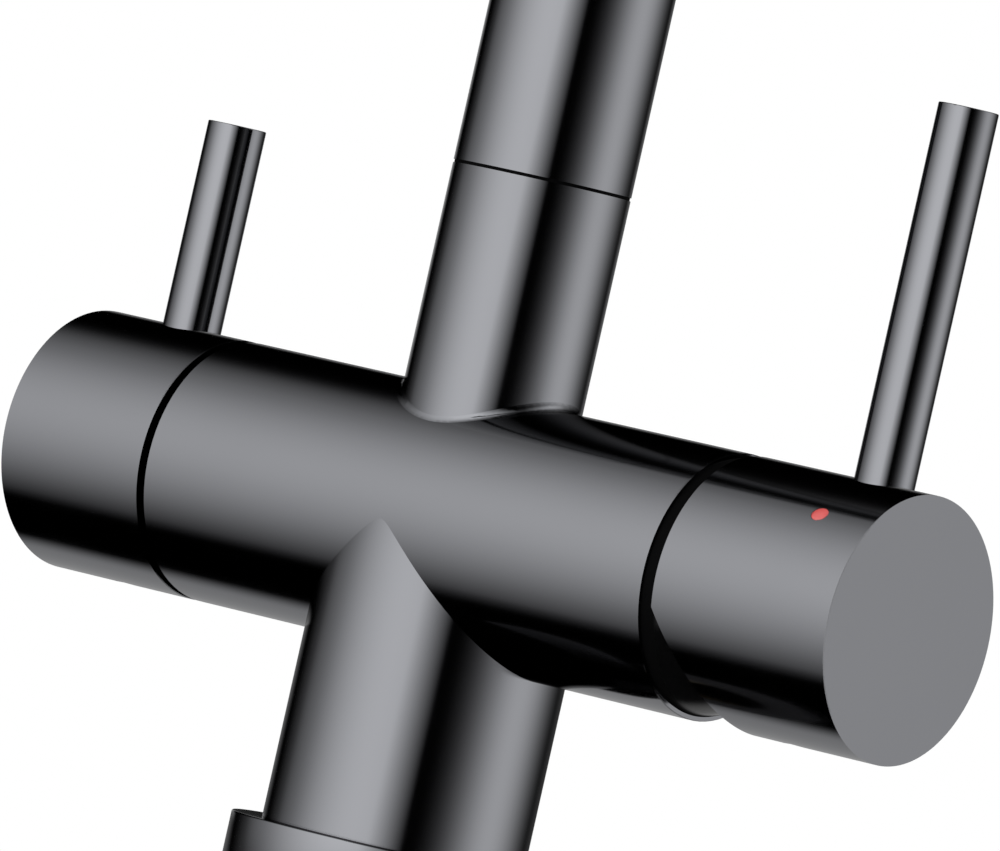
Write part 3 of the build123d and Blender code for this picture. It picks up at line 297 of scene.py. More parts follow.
# %% [markdown]
# The dark card cuts off the right side of the front light, whose foot ends well below the
# horizon. The narrow light at the right, the strip, fades out close under the horizon.

# %% Cut off the two main lights
CARD_TURN = 136.3
CARD_SOFTNESS = 0.507
FRONT_FOOT = 0.724  # the sine of the fall at which the front light ends
FRONT_FADE = 0.095
STRIP_FOOT = (-0.30, -0.05)
card = use_group(tree, dark_card, Direction=direction, Facing=aimed(CARD_TURN, 0),
                 Softness=CARD_SOFTNESS)["Mask"]
front_foot = maths(tree, "DIVIDE", maths(tree, "ADD", height, FRONT_FOOT), FRONT_FADE,
                   clamp=True)
front = maths(tree, "MULTIPLY", maths(tree, "MULTIPLY", lights["front"], card), front_foot)
strip = maths(tree, "MULTIPLY", lights["strip"], smooth_step(tree, height, *STRIP_FOOT))
print("the card faces a turn of", CARD_TURN, "degrees")

# %% [markdown]
# The light low behind is a round patch that draws the pale line along the underside of the
# cross tube. A small dark flag hangs straight behind the tap, because the base ring's top, seen
# almost edge-on, mirrors that spot and the photograph has it dark. At its two sides a low
# screen dims the light, because the photograph draws the column's upright edges dark, and the
# riser's a little less so.

# %% Paint the light low behind, its flag and its screens
LOW_LIGHT = (215.8, -21.1)  # turn and rise
LOW_EDGE, LOW_CORE, LOW_STRENGTH = 0.776, 0.923, 0.358
FLAG = (218.6, 2.6)
FLAG_CORE, FLAG_EDGE = math.cos(math.radians(3)), math.cos(math.radians(6))
PAST_FLAG = 0.04
SCREEN_FOOT, SCREEN_TOP = (-0.18, -0.08), (-0.02, 0.005)
SCREEN_SIDE = (0.0, 0.2)
SCREENS = {
    # the side's turn: what passes the screen itself, and what passes above it
    128: (0.12, 0.40),
    308: (0.35, 1.0),
}
low_behind = smooth_step(tree, alike(*LOW_LIGHT), LOW_EDGE, LOW_CORE, 0.0, LOW_STRENGTH)
flag = smooth_step(tree, alike(*FLAG), FLAG_CORE, FLAG_EDGE, PAST_FLAG, 1.0)
low_behind = maths(tree, "MULTIPLY", low_behind, flag)
for side, (through, over) in SCREENS.items():
    let_past = maths(tree, "ADD", smooth_step(tree, height, *SCREEN_FOOT, 1.0, through),
                     smooth_step(tree, height, *SCREEN_TOP, 0.0, over - through))
    screen = smooth_step(tree, alike(side, 0), *SCREEN_SIDE, 1.0, let_past)
    low_behind = maths(tree, "MULTIPLY", low_behind, screen)
print("low light with a flag and", len(SCREENS), "screens")

# %% [markdown]
# Matt pieces scatter light, so they need some from every side and most from above. The camera
# and the mirror finish would see such a wall as a grey veil, so it lights matt surfaces alone.

# %% Fill light for the matt pieces, and the finished wall
DIFFUSE_FILL = 0.40
CEILING_EDGE, CEILING_CORE, CEILING_STRENGTH = 0.80, 0.92, 1.1
ceiling = smooth_step(tree, height, CEILING_EDGE, CEILING_CORE, 0.0, CEILING_STRENGTH)
matt = put(tree, "ShaderNodeLightPath").outputs["Is Diffuse Ray"]
fill = maths(tree, "MULTIPLY", matt, maths(tree, "ADD", ceiling, DIFFUSE_FILL))
light = front
for more in (strip, low_behind, lights["far_left"], lights["brow"], lights["high_behind"], fill):
    light = maths(tree, "ADD", light, more)
wall = result(tree, "ShaderNodeEmission", Strength=light)
feed(tree, put(tree, "ShaderNodeOutputMaterial").inputs["Surface"], wall)
tent_wall.cycles.emission_sampling = "NONE"
print("wall painted with", len(tree.nodes), "nodes")

# %% Hang the tent
TENT_RADIUS = 9.0
shell = bmesh.new()
bmesh.ops.create_icosphere(shell, subdivisions=4, radius=TENT_RADIUS)
bmesh.ops.reverse_faces(shell, faces=shell.faces)
tent = added("tent", bpy.data.meshes.new("tent"))
shell.to_mesh(tent.data)
shell.free()
tent.data.materials.append(tent_wall)
tent.visible_camera = False
tent.visible_shadow = False

world = bpy.data.worlds.new("white_room")
world.use_nodes = True
world.node_tree.nodes["Background"].inputs["Color"].default_value = (1, 1, 1, 1)
world.node_tree.nodes["Background"].inputs["Strength"].default_value = 1.0
bpy.context.scene.world = world
bpy.context.scene.view_settings.view_transform = "Standard"
print("tent of", len(tent.data.polygons), "faces")

# %% [markdown]
# ## The floor
#
# A plain pale floor lies just under the lowest end of the shank and takes the tap's soft
# shadow. Towards its rim it turns clear, so that it melts into the white behind it, and seen
# from below it is clear all over, so that the underside of the tap can be looked at. The
# photograph shows nothing pale mirrored from below, so reflections pass through the floor.

# %% Lay the floor
FLOOR_HEIGHT = cad_low.z - 0.2 * MM
FLOOR_RADIUS = 1.0
FADE_START, FADE_END = 0.30, 0.95
pale_floor = bpy.data.materials.new("pale_floor")
pale_floor.use_nodes = True
tree = pale_floor.node_tree
tree.nodes.clear()
spot = own_place(tree)
grain = result(tree, "ShaderNodeTexNoise", Vector=spot, Scale=6.0)
tone = mixed_colour(tree, grain, (0.80, 0.80, 0.80, 1), (0.84, 0.84, 0.84, 1))
paint = result(tree, "ShaderNodeBsdfDiffuse", Color=tone)
clear = result(tree, "ShaderNodeBsdfTransparent")
rim = smooth_step(tree, vectors(tree, "LENGTH", spot), FADE_START, FADE_END)
from_below = put(tree, "ShaderNodeNewGeometry").outputs["Backfacing"]
rim = maths(tree, "MAXIMUM", rim, from_below)
blend = put(tree, "ShaderNodeMixShader")
for socket, value in zip(blend.inputs, (rim, paint, clear)):
    feed(tree, socket, value)
feed(tree, put(tree, "ShaderNodeOutputMaterial").inputs["Surface"], blend.outputs[0])

sheet = bmesh.new()
bmesh.ops.create_circle(sheet, cap_ends=True, segments=96, radius=FLOOR_RADIUS)
floor = added("floor", bpy.data.meshes.new("floor"))
sheet.to_mesh(floor.data)
sheet.free()
floor.data.transform(Matrix.Translation((0, 0, FLOOR_HEIGHT)))
floor.data.materials.append(pale_floor)
floor.visible_glossy = False
print("floor at", round(FLOOR_HEIGHT / MM, 1), "mm")

# %% [markdown]
# ## Effects that the finishes share
#
# Four effects come back in most finishes, each as a group with named sockets. Mottle shifts a
# colour a little from place to place, as plating and brass do. Polish draws very fine lines or
# specks, which give a bump of a few micrometres. Handling leaves faint smudges that only show
# as a slightly duller patch in a reflection. The painted edge highlight finds the edges, by
# comparing the surface's own normal with one averaged round it, and lightens the colour there.

# %% Mottle: slow change of colour
mottle, given, answer = new_group(
    "mottle",
    [("Colour", "Color", (0.5, 0.5, 0.5, 1)), ("Amount", "Float", 0.05),
     ("Patches per metre", "Float", 40.0)],
    [("Colour", "Color")],
)
patches = result(mottle, "ShaderNodeTexNoise", Vector=own_place(mottle),
                 Scale=given["Patches per metre"], Detail=3.0)
swing = maths(mottle, "MULTIPLY", maths(mottle, "SUBTRACT", patches, 0.5), 2.0)
factor = maths(mottle, "ADD", maths(mottle, "MULTIPLY", swing, given["Amount"]), 1.0)
feed(mottle, answer["Colour"], vectors(mottle, "SCALE", given["Colour"], factor))

# %% Polish: fine lines across the way that the piece was buffed
polish, given, answer = new_group(
    "polish",
    [("Lines per metre", "Vector", (3000, 3000, 3000)), ("Depth", "Float", 1.0)],
    [("Height", "Float")],
)
stretched = vectors(polish, "MULTIPLY", own_place(polish), given["Lines per metre"])
lines = result(polish, "ShaderNodeTexNoise", Vector=stretched, Scale=1.0, Detail=2.0)
feed(polish, answer["Height"], maths(polish, "MULTIPLY", lines, given["Depth"]))

# %% Handling: faint smudges in the gloss
handling, given, answer = new_group(
    "handling",
    [("Roughness", "Float", 0.1), ("Smudge", "Float", 0.05),
     ("Patches per metre", "Float", 60.0)],
    [("Roughness", "Float")],
)
touches = result(handling, "ShaderNodeTexNoise", Vector=own_place(handling),
                 Scale=given["Patches per metre"], Detail=5.0, Roughness=0.6)
SMUDGED = (0.48, 0.72)  # the noise at which a smudge starts, and where it is full
marks = smooth_step(handling, touches, *SMUDGED)
feed(handling, answer["Roughness"], maths(
    handling, "ADD", given["Roughness"], maths(handling, "MULTIPLY", marks, given["Smudge"])))

# %% Painted edge highlight: where the surface turns sharply
edge_wear, given, answer = new_group(
    "edge_wear",
    [("Width", "Float", 0.0003), ("Strength", "Float", 1.0)],
    [("Mask", "Float")],
)
softened = put(edge_wear, "ShaderNodeBevel", samples=4)
feed(edge_wear, softened.inputs["Radius"], given["Width"])
plain = put(edge_wear, "ShaderNodeNewGeometry").outputs["Normal"]
evenness = vectors(edge_wear, "DOT_PRODUCT", softened.outputs[0], plain)
TURNED = (0.99, 0.80)  # the evenness at which the painted highlight starts, and where it is full
on_edge = smooth_step(edge_wear, evenness, *TURNED)
feed(edge_wear, answer["Mask"], maths(edge_wear, "MULTIPLY", on_edge, given["Strength"]))

# %% [markdown]
# ## Finishes
#
# One function mixes a finish from these effects. It sets what is the same all over on the
# shader itself, such as how metallic the piece is, and wires what changes over the surface.
# The plating reflects about a third of the light, a little more of the blue, and its mirror
# is almost perfect. The direction of its fine polish depends on the piece: round the spout
# and the levers, round the handles, and in no direction on the cast body. Where one piece
# shows in another's mirror, the photograph has it nearly black, so its colour is darkened
# for mirror rays alone: painted shade in reflections.

# %% Mix a finish


def finish(name, colour, metallic, rough, smudge=0.0, variety=0.03, patches=40.0,
           lines=(3000, 3000, 3000), bump=0.0, edge=0.0, edge_colour=None, coat=0.0,
           coat_rough=0.05, specular=0.5, touches=60.0, kept_under_mirror_shade=1.0):
    """A finish with even values on its shader and the shared effects wired into it."""
    made = bpy.data.materials.new(name)
    made.use_nodes = True
    tree = made.node_tree
    shader = tree.nodes["Principled BSDF"]
    shader.inputs["Metallic"].default_value = metallic
    shader.inputs["Specular IOR Level"].default_value = specular
    shader.inputs["Coat Weight"].default_value = coat
    shader.inputs["Coat Roughness"].default_value = coat_rough
    tint = use_group(tree, mottle, Colour=(*colour, 1), Amount=variety,
                     Patches_per_metre=patches)["Colour"]
    dull = use_group(tree, handling, Roughness=rough, Smudge=smudge,
                     Patches_per_metre=touches)["Roughness"]
    if edge:
        # painted highlight: the colour is lightened towards the edge colour on the edges
        highlighted_edge = use_group(tree, edge_wear, Strength=edge)["Mask"]
        tint = mixed_colour(tree, highlighted_edge, tint, (*(edge_colour or colour), 1))
    # painted shade: a mirror ray sees this piece's colour darkened to the given share
    if kept_under_mirror_shade < 1.0:
        in_mirror = put(tree, "ShaderNodeLightPath").outputs["Is Glossy Ray"]
        kept = maths(tree, "SUBTRACT", 1.0, maths(tree, "MULTIPLY", in_mirror, 1.0 - kept_under_mirror_shade))
        tint = vectors(tree, "SCALE", tint, kept)
    feed(tree, shader.inputs["Base Color"], tint)
    feed(tree, shader.inputs["Roughness"], dull)
    if bump:
        relief = put(tree, "ShaderNodeBump")
        relief.inputs["Distance"].default_value = bump
        feed(tree, relief.inputs["Height"],
             use_group(tree, polish, Lines_per_metre=lines)["Height"])
        feed(tree, shader.inputs["Normal"], relief.outputs[0])
    print("finish:", name)
    return made


# %% Plate the outside of the tap
GUNMETAL = (0.333, 0.338, 0.359)
# a lighter gunmetal, painted on the edges as a highlight
HIGHLIGHT_GUNMETAL = (0.40, 0.405, 0.42)


def plating(name, lines):
    return finish(name, GUNMETAL, 1.0, 0.095, smudge=0.02, variety=0.02, patches=30,
                  lines=lines, bump=0.6e-6, edge=0.5, edge_colour=HIGHLIGHT_GUNMETAL,
                  kept_under_mirror_shade=0.12)


plated_cast = plating("gunmetal_buffed", (900, 900, 900))
plated_round_x = plating("gunmetal_turned_across", (4000, 150, 150))
plated_round_z = plating("gunmetal_turned_upright", (150, 150, 4000))

# %% [markdown]
# The pieces under the worktop and inside the tap have their own finishes. The nut and the
# valves are turned brass, the washer is pressed steel, and the seals are black rubber. The
# cartridge is moulded plastic round two ceramic discs, and the index dots are glossy enamel.

# %% Finishes of the working pieces
BRASS = (0.76, 0.58, 0.30)
brass = finish("turned_brass", BRASS, 1.0, 0.24, smudge=0.08, variety=0.08, patches=70,
               lines=(500, 500, 6000), bump=3e-6, edge=0.6, edge_colour=(0.86, 0.70, 0.42),
               kept_under_mirror_shade=0.4)
brass_across = finish("turned_brass_across", BRASS, 1.0, 0.24, smudge=0.08, variety=0.08,
                      patches=70, lines=(6000, 500, 500), bump=3e-6, kept_under_mirror_shade=0.4)
steel = finish("pressed_steel", (0.60, 0.60, 0.59), 1.0, 0.30, smudge=0.10, variety=0.10,
               patches=160, lines=(1500, 1500, 1500), bump=6e-6, edge=0.5,
               edge_colour=(0.72, 0.72, 0.71), kept_under_mirror_shade=0.06)
rubber = finish("black_rubber", (0.028, 0.028, 0.030), 0.0, 0.62, smudge=0.12, variety=0.25,
                patches=220, lines=(2500, 2500, 2500), bump=15e-6, specular=0.4)
grey_plastic = finish("grey_moulded_plastic", (0.55, 0.56, 0.58), 0.0, 0.40, smudge=0.06,
                      variety=0.04, patches=120, lines=(3500, 3500, 3500), bump=6e-6)
white_plastic = finish("white_moulded_plastic", (0.83, 0.83, 0.81), 0.0, 0.34, smudge=0.05,
                       variety=0.02, patches=150, lines=(3000, 3000, 3000), bump=4e-6)
ceramic = finish("ground_ceramic", (0.86, 0.86, 0.83), 0.0, 0.16, smudge=0.04, variety=0.02,
                 patches=400, lines=(6000, 6000, 6000), bump=1e-6, specular=0.6)


def enamel(name, colour):
    return finish(name, colour, 0.0, 0.22, smudge=0.05, variety=0.06, patches=900,
                  lines=(2500, 2500, 2500), bump=4e-6, coat=1.0, coat_rough=0.12)


red_enamel = enamel("glossy_red_enamel", (0.73, 0.110, 0.105))
blue_enamel = enamel("glossy_blue_enamel", (0.05, 0.16, 0.72))

# %% [markdown]
# The cover of the mixer's cartridge and the ring in the spout's seam are black plastic. In the
# narrow gap behind the mixer handle the cover has no gloss, and the photograph has it black:
# this is painted shade for the gap. Further out and lower, where the handle's rim is cut away,
# it shines: near its edge it mirrors the pale light from below. A coat does this, whose weight
# grows over about a millimetre, outwards and a little downwards.

# %% Black plastic, dull in the gap and shiny outside it
OUTWARDS = (1.0, 0.0, -0.08)
GLOSS_START, GLOSS_FULL = 55.9 * MM, 57.1 * MM
black_plastic = finish("black_moulded_plastic", (0.0025, 0.0025, 0.0027), 0.0, 0.50,
                       smudge=0.08, variety=0.15, patches=200, lines=(3000, 3000, 3000),
                       bump=1e-6, specular=0.03, coat_rough=0.10)
tree = black_plastic.node_tree
reach = vectors(tree, "DOT_PRODUCT", own_place(tree), OUTWARDS)
# painted shade: the coat's weight is nought in the gap behind the mixer handle, which keeps it
# black
feed(tree, tree.nodes["Principled BSDF"].inputs["Coat Weight"],
     smooth_step(tree, reach, GLOSS_START, GLOSS_FULL))

# %% [markdown]
# ## Dress the CAD pieces
#
# Each CAD piece already carries the name of the slot that the record gives it. A table from
# slot to finish dresses all of them, and a few pieces get the variant that was turned on
# another axis.

# %% Give every piece its finish
FINISH_OF_SLOT = {
    "gunmetal": plated_round_z, "brass": brass, "steel": steel, "rubber": rubber,
    "grey_plastic": grey_plastic, "white_plastic": white_plastic, "ceramic": ceramic,
    "red_enamel": red_enamel, "blue_enamel": blue_enamel, "black_plastic": black_plastic,
}
FINISH_OF_PIECE = {
    "body": plated_cast, "mixer_handle": plated_round_x, "filter_handle": plated_round_x,
    "cartridge_nut": brass_across, "valve_body": brass_across, "filter_spindle": brass_across,
}
dressed = {}
for name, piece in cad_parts.items():
    slot = piece.data.materials[0].name.split(".")[0]
    chosen = FINISH_OF_PIECE.get(name) or FINISH_OF_SLOT[slot]
    piece.data.materials[0] = chosen
    dressed.setdefault(chosen.name, []).append(name)
for finish_name, names in sorted(dressed.items()):
    print(f"{finish_name}: {len(names)}")

# %% [markdown]
# ## Pieces turned on a lathe
#
# The levers, the base ring, the ring in the spout's seam and the index dots are turned pieces:
# one profile, spun about one axis. A Geometry Nodes tree does the same. It takes the profile as
# a ring of points, each a radius and a height, lays a grid of as many rows as the profile has
# points, and bends the grid round the axis. Turning them afresh gives far more and finer steps
# than the CAD mesh has, which a mirror finish needs: every facet would show as a kink in a
# reflection.

# %% Words for geometry trees
WELD_DISTANCE = 2e-6  # metres


def joined(tree, x, y, z):
    return result(tree, "ShaderNodeCombineXYZ", X=x, Y=y, Z=z)


def calculator(tree):
    """The word maths for one tree, so that a long formula needn't name the tree each time."""
    def calculate(operation, *values, clamp=False):
        return maths(tree, operation, *values, clamp=clamp)
    return calculate


def bent_grid(tree, across, along):
    """A flat grid with the place of each of its points as two numbers from 0 to 1."""
    sheet = result(tree, "GeometryNodeMeshGrid", Size_X=1.0, Size_Y=1.0,
                   Vertices_X=maths(tree, "ADD", across, 1.0),
                   Vertices_Y=maths(tree, "ADD", along, 1.0))
    parts = put(tree, "ShaderNodeSeparateXYZ")
    feed(tree, parts.inputs[0], result(tree, "GeometryNodeInputPosition"))
    return (sheet, maths(tree, "ADD", parts.outputs["X"], 0.5),
            maths(tree, "ADD", parts.outputs["Y"], 0.5))


def closed_skin(tree, sheet, place, material):
    """Moves the grid's points into place, welds them and gives the skin its finish."""
    moved = result(tree, "GeometryNodeSetPosition", Geometry=sheet, Position=place)
    welded = result(tree, "GeometryNodeMergeByDistance", Geometry=moved, Distance=WELD_DISTANCE)
    whole = result(tree, "GeometryNodeRealizeInstances", Geometry=welded)
    return result(tree, "GeometryNodeSetMaterial", Geometry=whole, Material=material)


def shape_tree(name, inputs):
    """Opens a tree that makes a mesh, with a finish among its inputs."""
    inputs = inputs + [("Finish", "Material", None)]
    return new_group(name, [("Geometry", "Geometry", None)] + inputs,
                     [("Geometry", "Geometry")], "GeometryNodeTree")


# %% The lathe
lathe, given, answer = shape_tree("lathe", [
    ("Steps round", "Int", 128), ("Place", "Vector", (0, 0, 0)), ("Turn", "Vector", (0, 0, 0))])
calc = calculator(lathe)
profile = given["Geometry"]
size = put(lathe, "GeometryNodeAttributeDomainSize")
feed(lathe, size.inputs[0], profile)
count = size.outputs["Point Count"]
sheet, turn, row = bent_grid(lathe, given["Steps round"], count)
number = calc("ROUND", calc("MULTIPLY", row, count))
picked = put(lathe, "GeometryNodeSampleIndex", data_type="FLOAT_VECTOR")
feed(lathe, picked.inputs["Geometry"], profile)
feed(lathe, picked.inputs["Value"], result(lathe, "GeometryNodeInputPosition"))
feed(lathe, picked.inputs["Index"], calc("MODULO", number, count))
point = put(lathe, "ShaderNodeSeparateXYZ")
feed(lathe, point.inputs[0], picked.outputs[0])
angle = calc("MULTIPLY", turn, math.tau)
spun = joined(lathe, calc("MULTIPLY", point.outputs["X"], calc("COSINE", angle)),
              calc("MULTIPLY", point.outputs["X"], calc("SINE", angle)), point.outputs["Z"])
skin = closed_skin(lathe, sheet, spun, given["Finish"])
set_up = result(lathe, "GeometryNodeTransform", Geometry=skin, Translation=given["Place"],
                Rotation=given["Turn"])
feed(lathe, answer["Geometry"], set_up)
print("lathe tree of", len(lathe.nodes), "nodes")

# %% [markdown]
# A tree becomes a plain mesh in four steps. The modifier goes on an object that holds the
# profile, its named inputs are set, the result is taken as a mesh, and the modifier goes away.
# Then the normals are made to point outwards, and edges that turn sharply are marked, so that
# round faces look round and corners stay crisp. A profile that starts and ends on the axis
# leaves one bare edge along it, which goes. Each new piece takes the place of its CAD piece
# and rides on the same body.

# %% From a tree to a mesh


def mesh_from_tree(name, tree, values, points=((0, 0, 0),)):
    """Runs a tree on the points with these inputs, and returns a plain mesh."""
    start = bpy.data.meshes.new(name + "_points")
    start.from_pydata(points, [], [])
    holder = added(name + "_holder", start)
    modifier = holder.modifiers.new(tree.name, "NODES")
    modifier.node_group = tree
    for socket in tree.interface.items_tree:
        if socket.in_out == "INPUT" and socket.name in values:
            modifier[socket.identifier] = values[socket.name]
    ready = holder.evaluated_get(bpy.context.evaluated_depsgraph_get())
    made = bpy.data.meshes.new_from_object(ready)
    bpy.data.objects.remove(holder)
    bpy.data.meshes.remove(start)
    made.name = name
    return made


# %% From a mesh to a piece of the tap
CREASE = math.radians(30)


def piece_of_tap(name, mesh, body, replaced):
    """Puts the mesh into the scene on its body and the CAD piece it replaces."""
    piece = added(name, mesh)
    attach(piece, body)
    if replaced:
        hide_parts(replaced)
    return piece


def finished_piece(name, mesh, body, replaced):
    """Turns the mesh's faces outwards and sets it up as a piece of the tap."""
    work = bmesh.new()
    work.from_mesh(mesh)
    bmesh.ops.recalc_face_normals(work, faces=work.faces)
    bare = [edge for edge in work.edges if not edge.link_faces]
    bmesh.ops.delete(work, geom=bare, context="EDGES")
    work.to_mesh(mesh)
    open_edges = sum(1 for edge in work.edges if not edge.is_manifold)
    work.free()
    mesh.shade_smooth()
    mesh.set_sharp_from_angle(angle=CREASE)
    print(f"{name}: {len(mesh.polygons)} faces, {open_edges} open edges")
    return piece_of_tap(name, mesh, body, replaced)


# %% From a profile to a turned piece


def rounded(radius, height, size, steps=4, top=True):
    """Points of a rounded outer edge, from the side to the end face."""
    points = []
    for step in range(steps + 1):
        bend = math.radians(90) * step / steps
        up = math.sin(bend) * size if top else -math.sin(bend) * size
        middle = height - size if top else height + size
        points.append((radius - size + math.cos(bend) * size, middle + up))
    return points


def turned(name, body, replaced, profile, finish_used, steps=128, place=(0, 0, 0),
           turn=(0, 0, 0)):
    """A turned piece from a profile of (radius, height) points in millimetres."""
    points = [(radius * MM, 0, height * MM) for radius, height in profile]
    mesh = mesh_from_tree(name, lathe, {
        "Steps round": steps, "Place": [v * MM for v in place],
        "Turn": [math.radians(v) for v in turn], "Finish": finish_used}, points)
    return finished_piece(name, mesh, body, replaced)


# %% [markdown]
# The base ring carries the column in a well, and takes a rubber seal in a groove below. Its
# upper edge is rounded by the buffing wheel, and the highlight on that edge is what shows the
# ring in the photograph.

# %% Turn the base ring
RING_RADIUS, RING_HEIGHT = 29.0, 10.0
LOWER_EDGE, UPPER_EDGE = 0.15, 0.35
WELL_RADIUS, WELL_FLOOR = 23.6, 3.0
HOLE_RADIUS = 16.8
GROOVE_IN, GROOVE_OUT, GROOVE_DEPTH = 21.45, 25.55, 2.0
base_profile = [(HOLE_RADIUS, 0), (GROOVE_IN, 0), (GROOVE_IN, GROOVE_DEPTH),
                (GROOVE_OUT, GROOVE_DEPTH), (GROOVE_OUT, 0)]
base_profile += rounded(RING_RADIUS, 0, LOWER_EDGE, steps=2, top=False)[::-1]
base_profile += rounded(RING_RADIUS, RING_HEIGHT, UPPER_EDGE)
base_profile += [(WELL_RADIUS, RING_HEIGHT), (WELL_RADIUS, WELL_FLOOR), (HOLE_RADIUS, WELL_FLOOR)]
turned("base_ring_turned", "fixed_body", "base_ring", base_profile, plated_round_z,
       steps=192)

# %% [markdown]
# A thin black ring fills the seam between the column's riser and the spout, and keeps the two
# from rubbing. Its edge stays a little behind their surfaces, so the seam is a fine dark line.

# %% Turn the ring in the spout's seam
SEAM_LOW, SEAM_HIGH = 129.4, 129.98
SEAM_IN, SEAM_OUT = 12.5, 15.8
seam_profile = [(SEAM_IN, SEAM_LOW), (SEAM_OUT, SEAM_LOW), (SEAM_OUT, SEAM_HIGH),
                (SEAM_IN, SEAM_HIGH)]
turned("slip_ring_turned", "fixed_body", "slip_ring", seam_profile,
       black_plastic)

# %% [markdown]
# ## Threads
#
# The shank under the worktop, and the spigot under each lever, are threaded. A thread is a
# profile that climbs by one pitch in each turn. The tree lays the grid's rows along the helix
# itself, so the flanks stay crisp with only six rows in a pitch. Rows that would pass an end
# are held back at it, where the thread also runs out, so both ends come out flat and closed.

# %% The thread tool
threading, given, answer = shape_tree("thread", [
    ("Crest radius", "Float", 0.0165), ("Depth", "Float", 0.0009), ("Pitch", "Float", 0.0015),
    ("Low end", "Float", 0.0), ("High end", "Float", 0.01), ("Bore radius", "Float", 0.0),
    ("Run out", "Float", 0.001), ("Steps round", "Int", 72), ("Place", "Vector", (0, 0, 0))])
ROWS_IN_PITCH = 6.0
CREST_HALF, VALLEY_HALF = 0.10, 0.45  # shares of a pitch from the middle of the ridge
calc = calculator(threading)
length = calc("SUBTRACT", given["High end"], given["Low end"])
turns = calc("ADD", calc("CEIL", calc("DIVIDE", length, given["Pitch"])), 1.0)
last = calc("MULTIPLY", turns, ROWS_IN_PITCH)
rows = calc("ADD", last, 3.0)
sheet, turn, row = bent_grid(threading, given["Steps round"], rows)
number = calc("ROUND", calc("MULTIPLY", row, rows))
climb = calc("ADD", calc("SUBTRACT", calc("DIVIDE", number, ROWS_IN_PITCH), 1.0), turn)
rise = calc("ADD", given["Low end"], calc("MULTIPLY", climb, given["Pitch"]))
held = calc("MINIMUM", calc("MAXIMUM", rise, given["Low end"]), given["High end"])

# %% [markdown]
# Along one pitch the radius goes from the valley to the crest and back. Near both ends the
# ridge dies away, which is the thread's run-out.

# %% Raise the ridge of the thread
phase = calc("FRACT", calc("DIVIDE", number, ROWS_IN_PITCH))
ridge = calc("ABSOLUTE", calc("SUBTRACT", phase, 0.5))
ridge = calc("SUBTRACT", 1.0, smooth_step(threading, ridge, CREST_HALF, VALLEY_HALF))
start = calc("DIVIDE", calc("SUBTRACT", held, given["Low end"]), given["Run out"], clamp=True)
stop = calc("DIVIDE", calc("SUBTRACT", given["High end"], held), given["Run out"], clamp=True)
crest = calc("MULTIPLY", calc("MULTIPLY", ridge, start), stop)
valley = calc("MULTIPLY", given["Depth"], calc("SUBTRACT", 1.0, crest))
thread_radius = calc("SUBTRACT", given["Crest radius"], valley)
print("ridge over", 2 * VALLEY_HALF, "of a pitch")

# %% [markdown]
# The last three rows close the piece: up to the bore at the high end, down through the bore,
# and out again to the first row at the low end.

# %% Close the threaded piece round its bore
is_bore = calc("MULTIPLY", calc("GREATER_THAN", number, calc("ADD", last, 0.5)),
               calc("LESS_THAN", number, calc("ADD", last, 2.5)))
is_low = calc("GREATER_THAN", number, calc("ADD", last, 1.5))
is_last = calc("GREATER_THAN", number, calc("ADD", last, 2.5))


def either(choice, chosen, otherwise):
    """One value where the choice is 1, and the other where it is 0."""
    return calc("ADD", calc("MULTIPLY", otherwise, calc("SUBTRACT", 1.0, choice)),
                calc("MULTIPLY", chosen, choice))


radius = either(is_bore, given["Bore radius"], thread_radius)
first_radius = calc("SUBTRACT", given["Crest radius"], given["Depth"])
radius = either(is_last, first_radius, radius)
level_z = either(is_low, given["Low end"], held)
angle = calc("MULTIPLY", turn, math.tau)
spot = joined(threading, calc("MULTIPLY", radius, calc("COSINE", angle)),
              calc("MULTIPLY", radius, calc("SINE", angle)), level_z)
skin = closed_skin(threading, sheet, vectors(threading, "ADD", spot, given["Place"]),
                   given["Finish"])
feed(threading, answer["Geometry"], skin)
print("thread tree of", len(threading.nodes), "nodes")

# %% [markdown]
# The shank is a thin brass tube, M33 with a pitch of 1.5 mm, cut over its whole length. The
# nut under the worktop runs on it, and its upper end is screwed into the column. A worktop
# hides it in use, so the tap's mirror finish shows no image of it.

# %% Cut the shank's thread
shank = mesh_from_tree("mounting_shank_threaded", threading, {
    "Crest radius": 16.5 * MM, "Depth": 0.85 * MM, "Pitch": 1.5 * MM, "Low end": -58.0 * MM,
    "High end": 15.0 * MM, "Bore radius": 14.5 * MM, "Run out": 1.2 * MM, "Steps round": 96,
    "Place": (0, 0, 0), "Finish": brass})
shank_piece = finished_piece("mounting_shank_threaded", shank, "fixed_body",
                             "mounting_shank")
shank_piece.visible_glossy = False

# %% [markdown]
# ## The levers
#
# Each lever is a plain polished rod, 10.6 mm thick, whose upper edge is only just broken. It
# stands in a shallow seat in the handle's crown and is screwed in by an M6 spigot. The
# photograph shows hardly any image of the levers in the tubes beside them, so mirror rays
# pass them by.

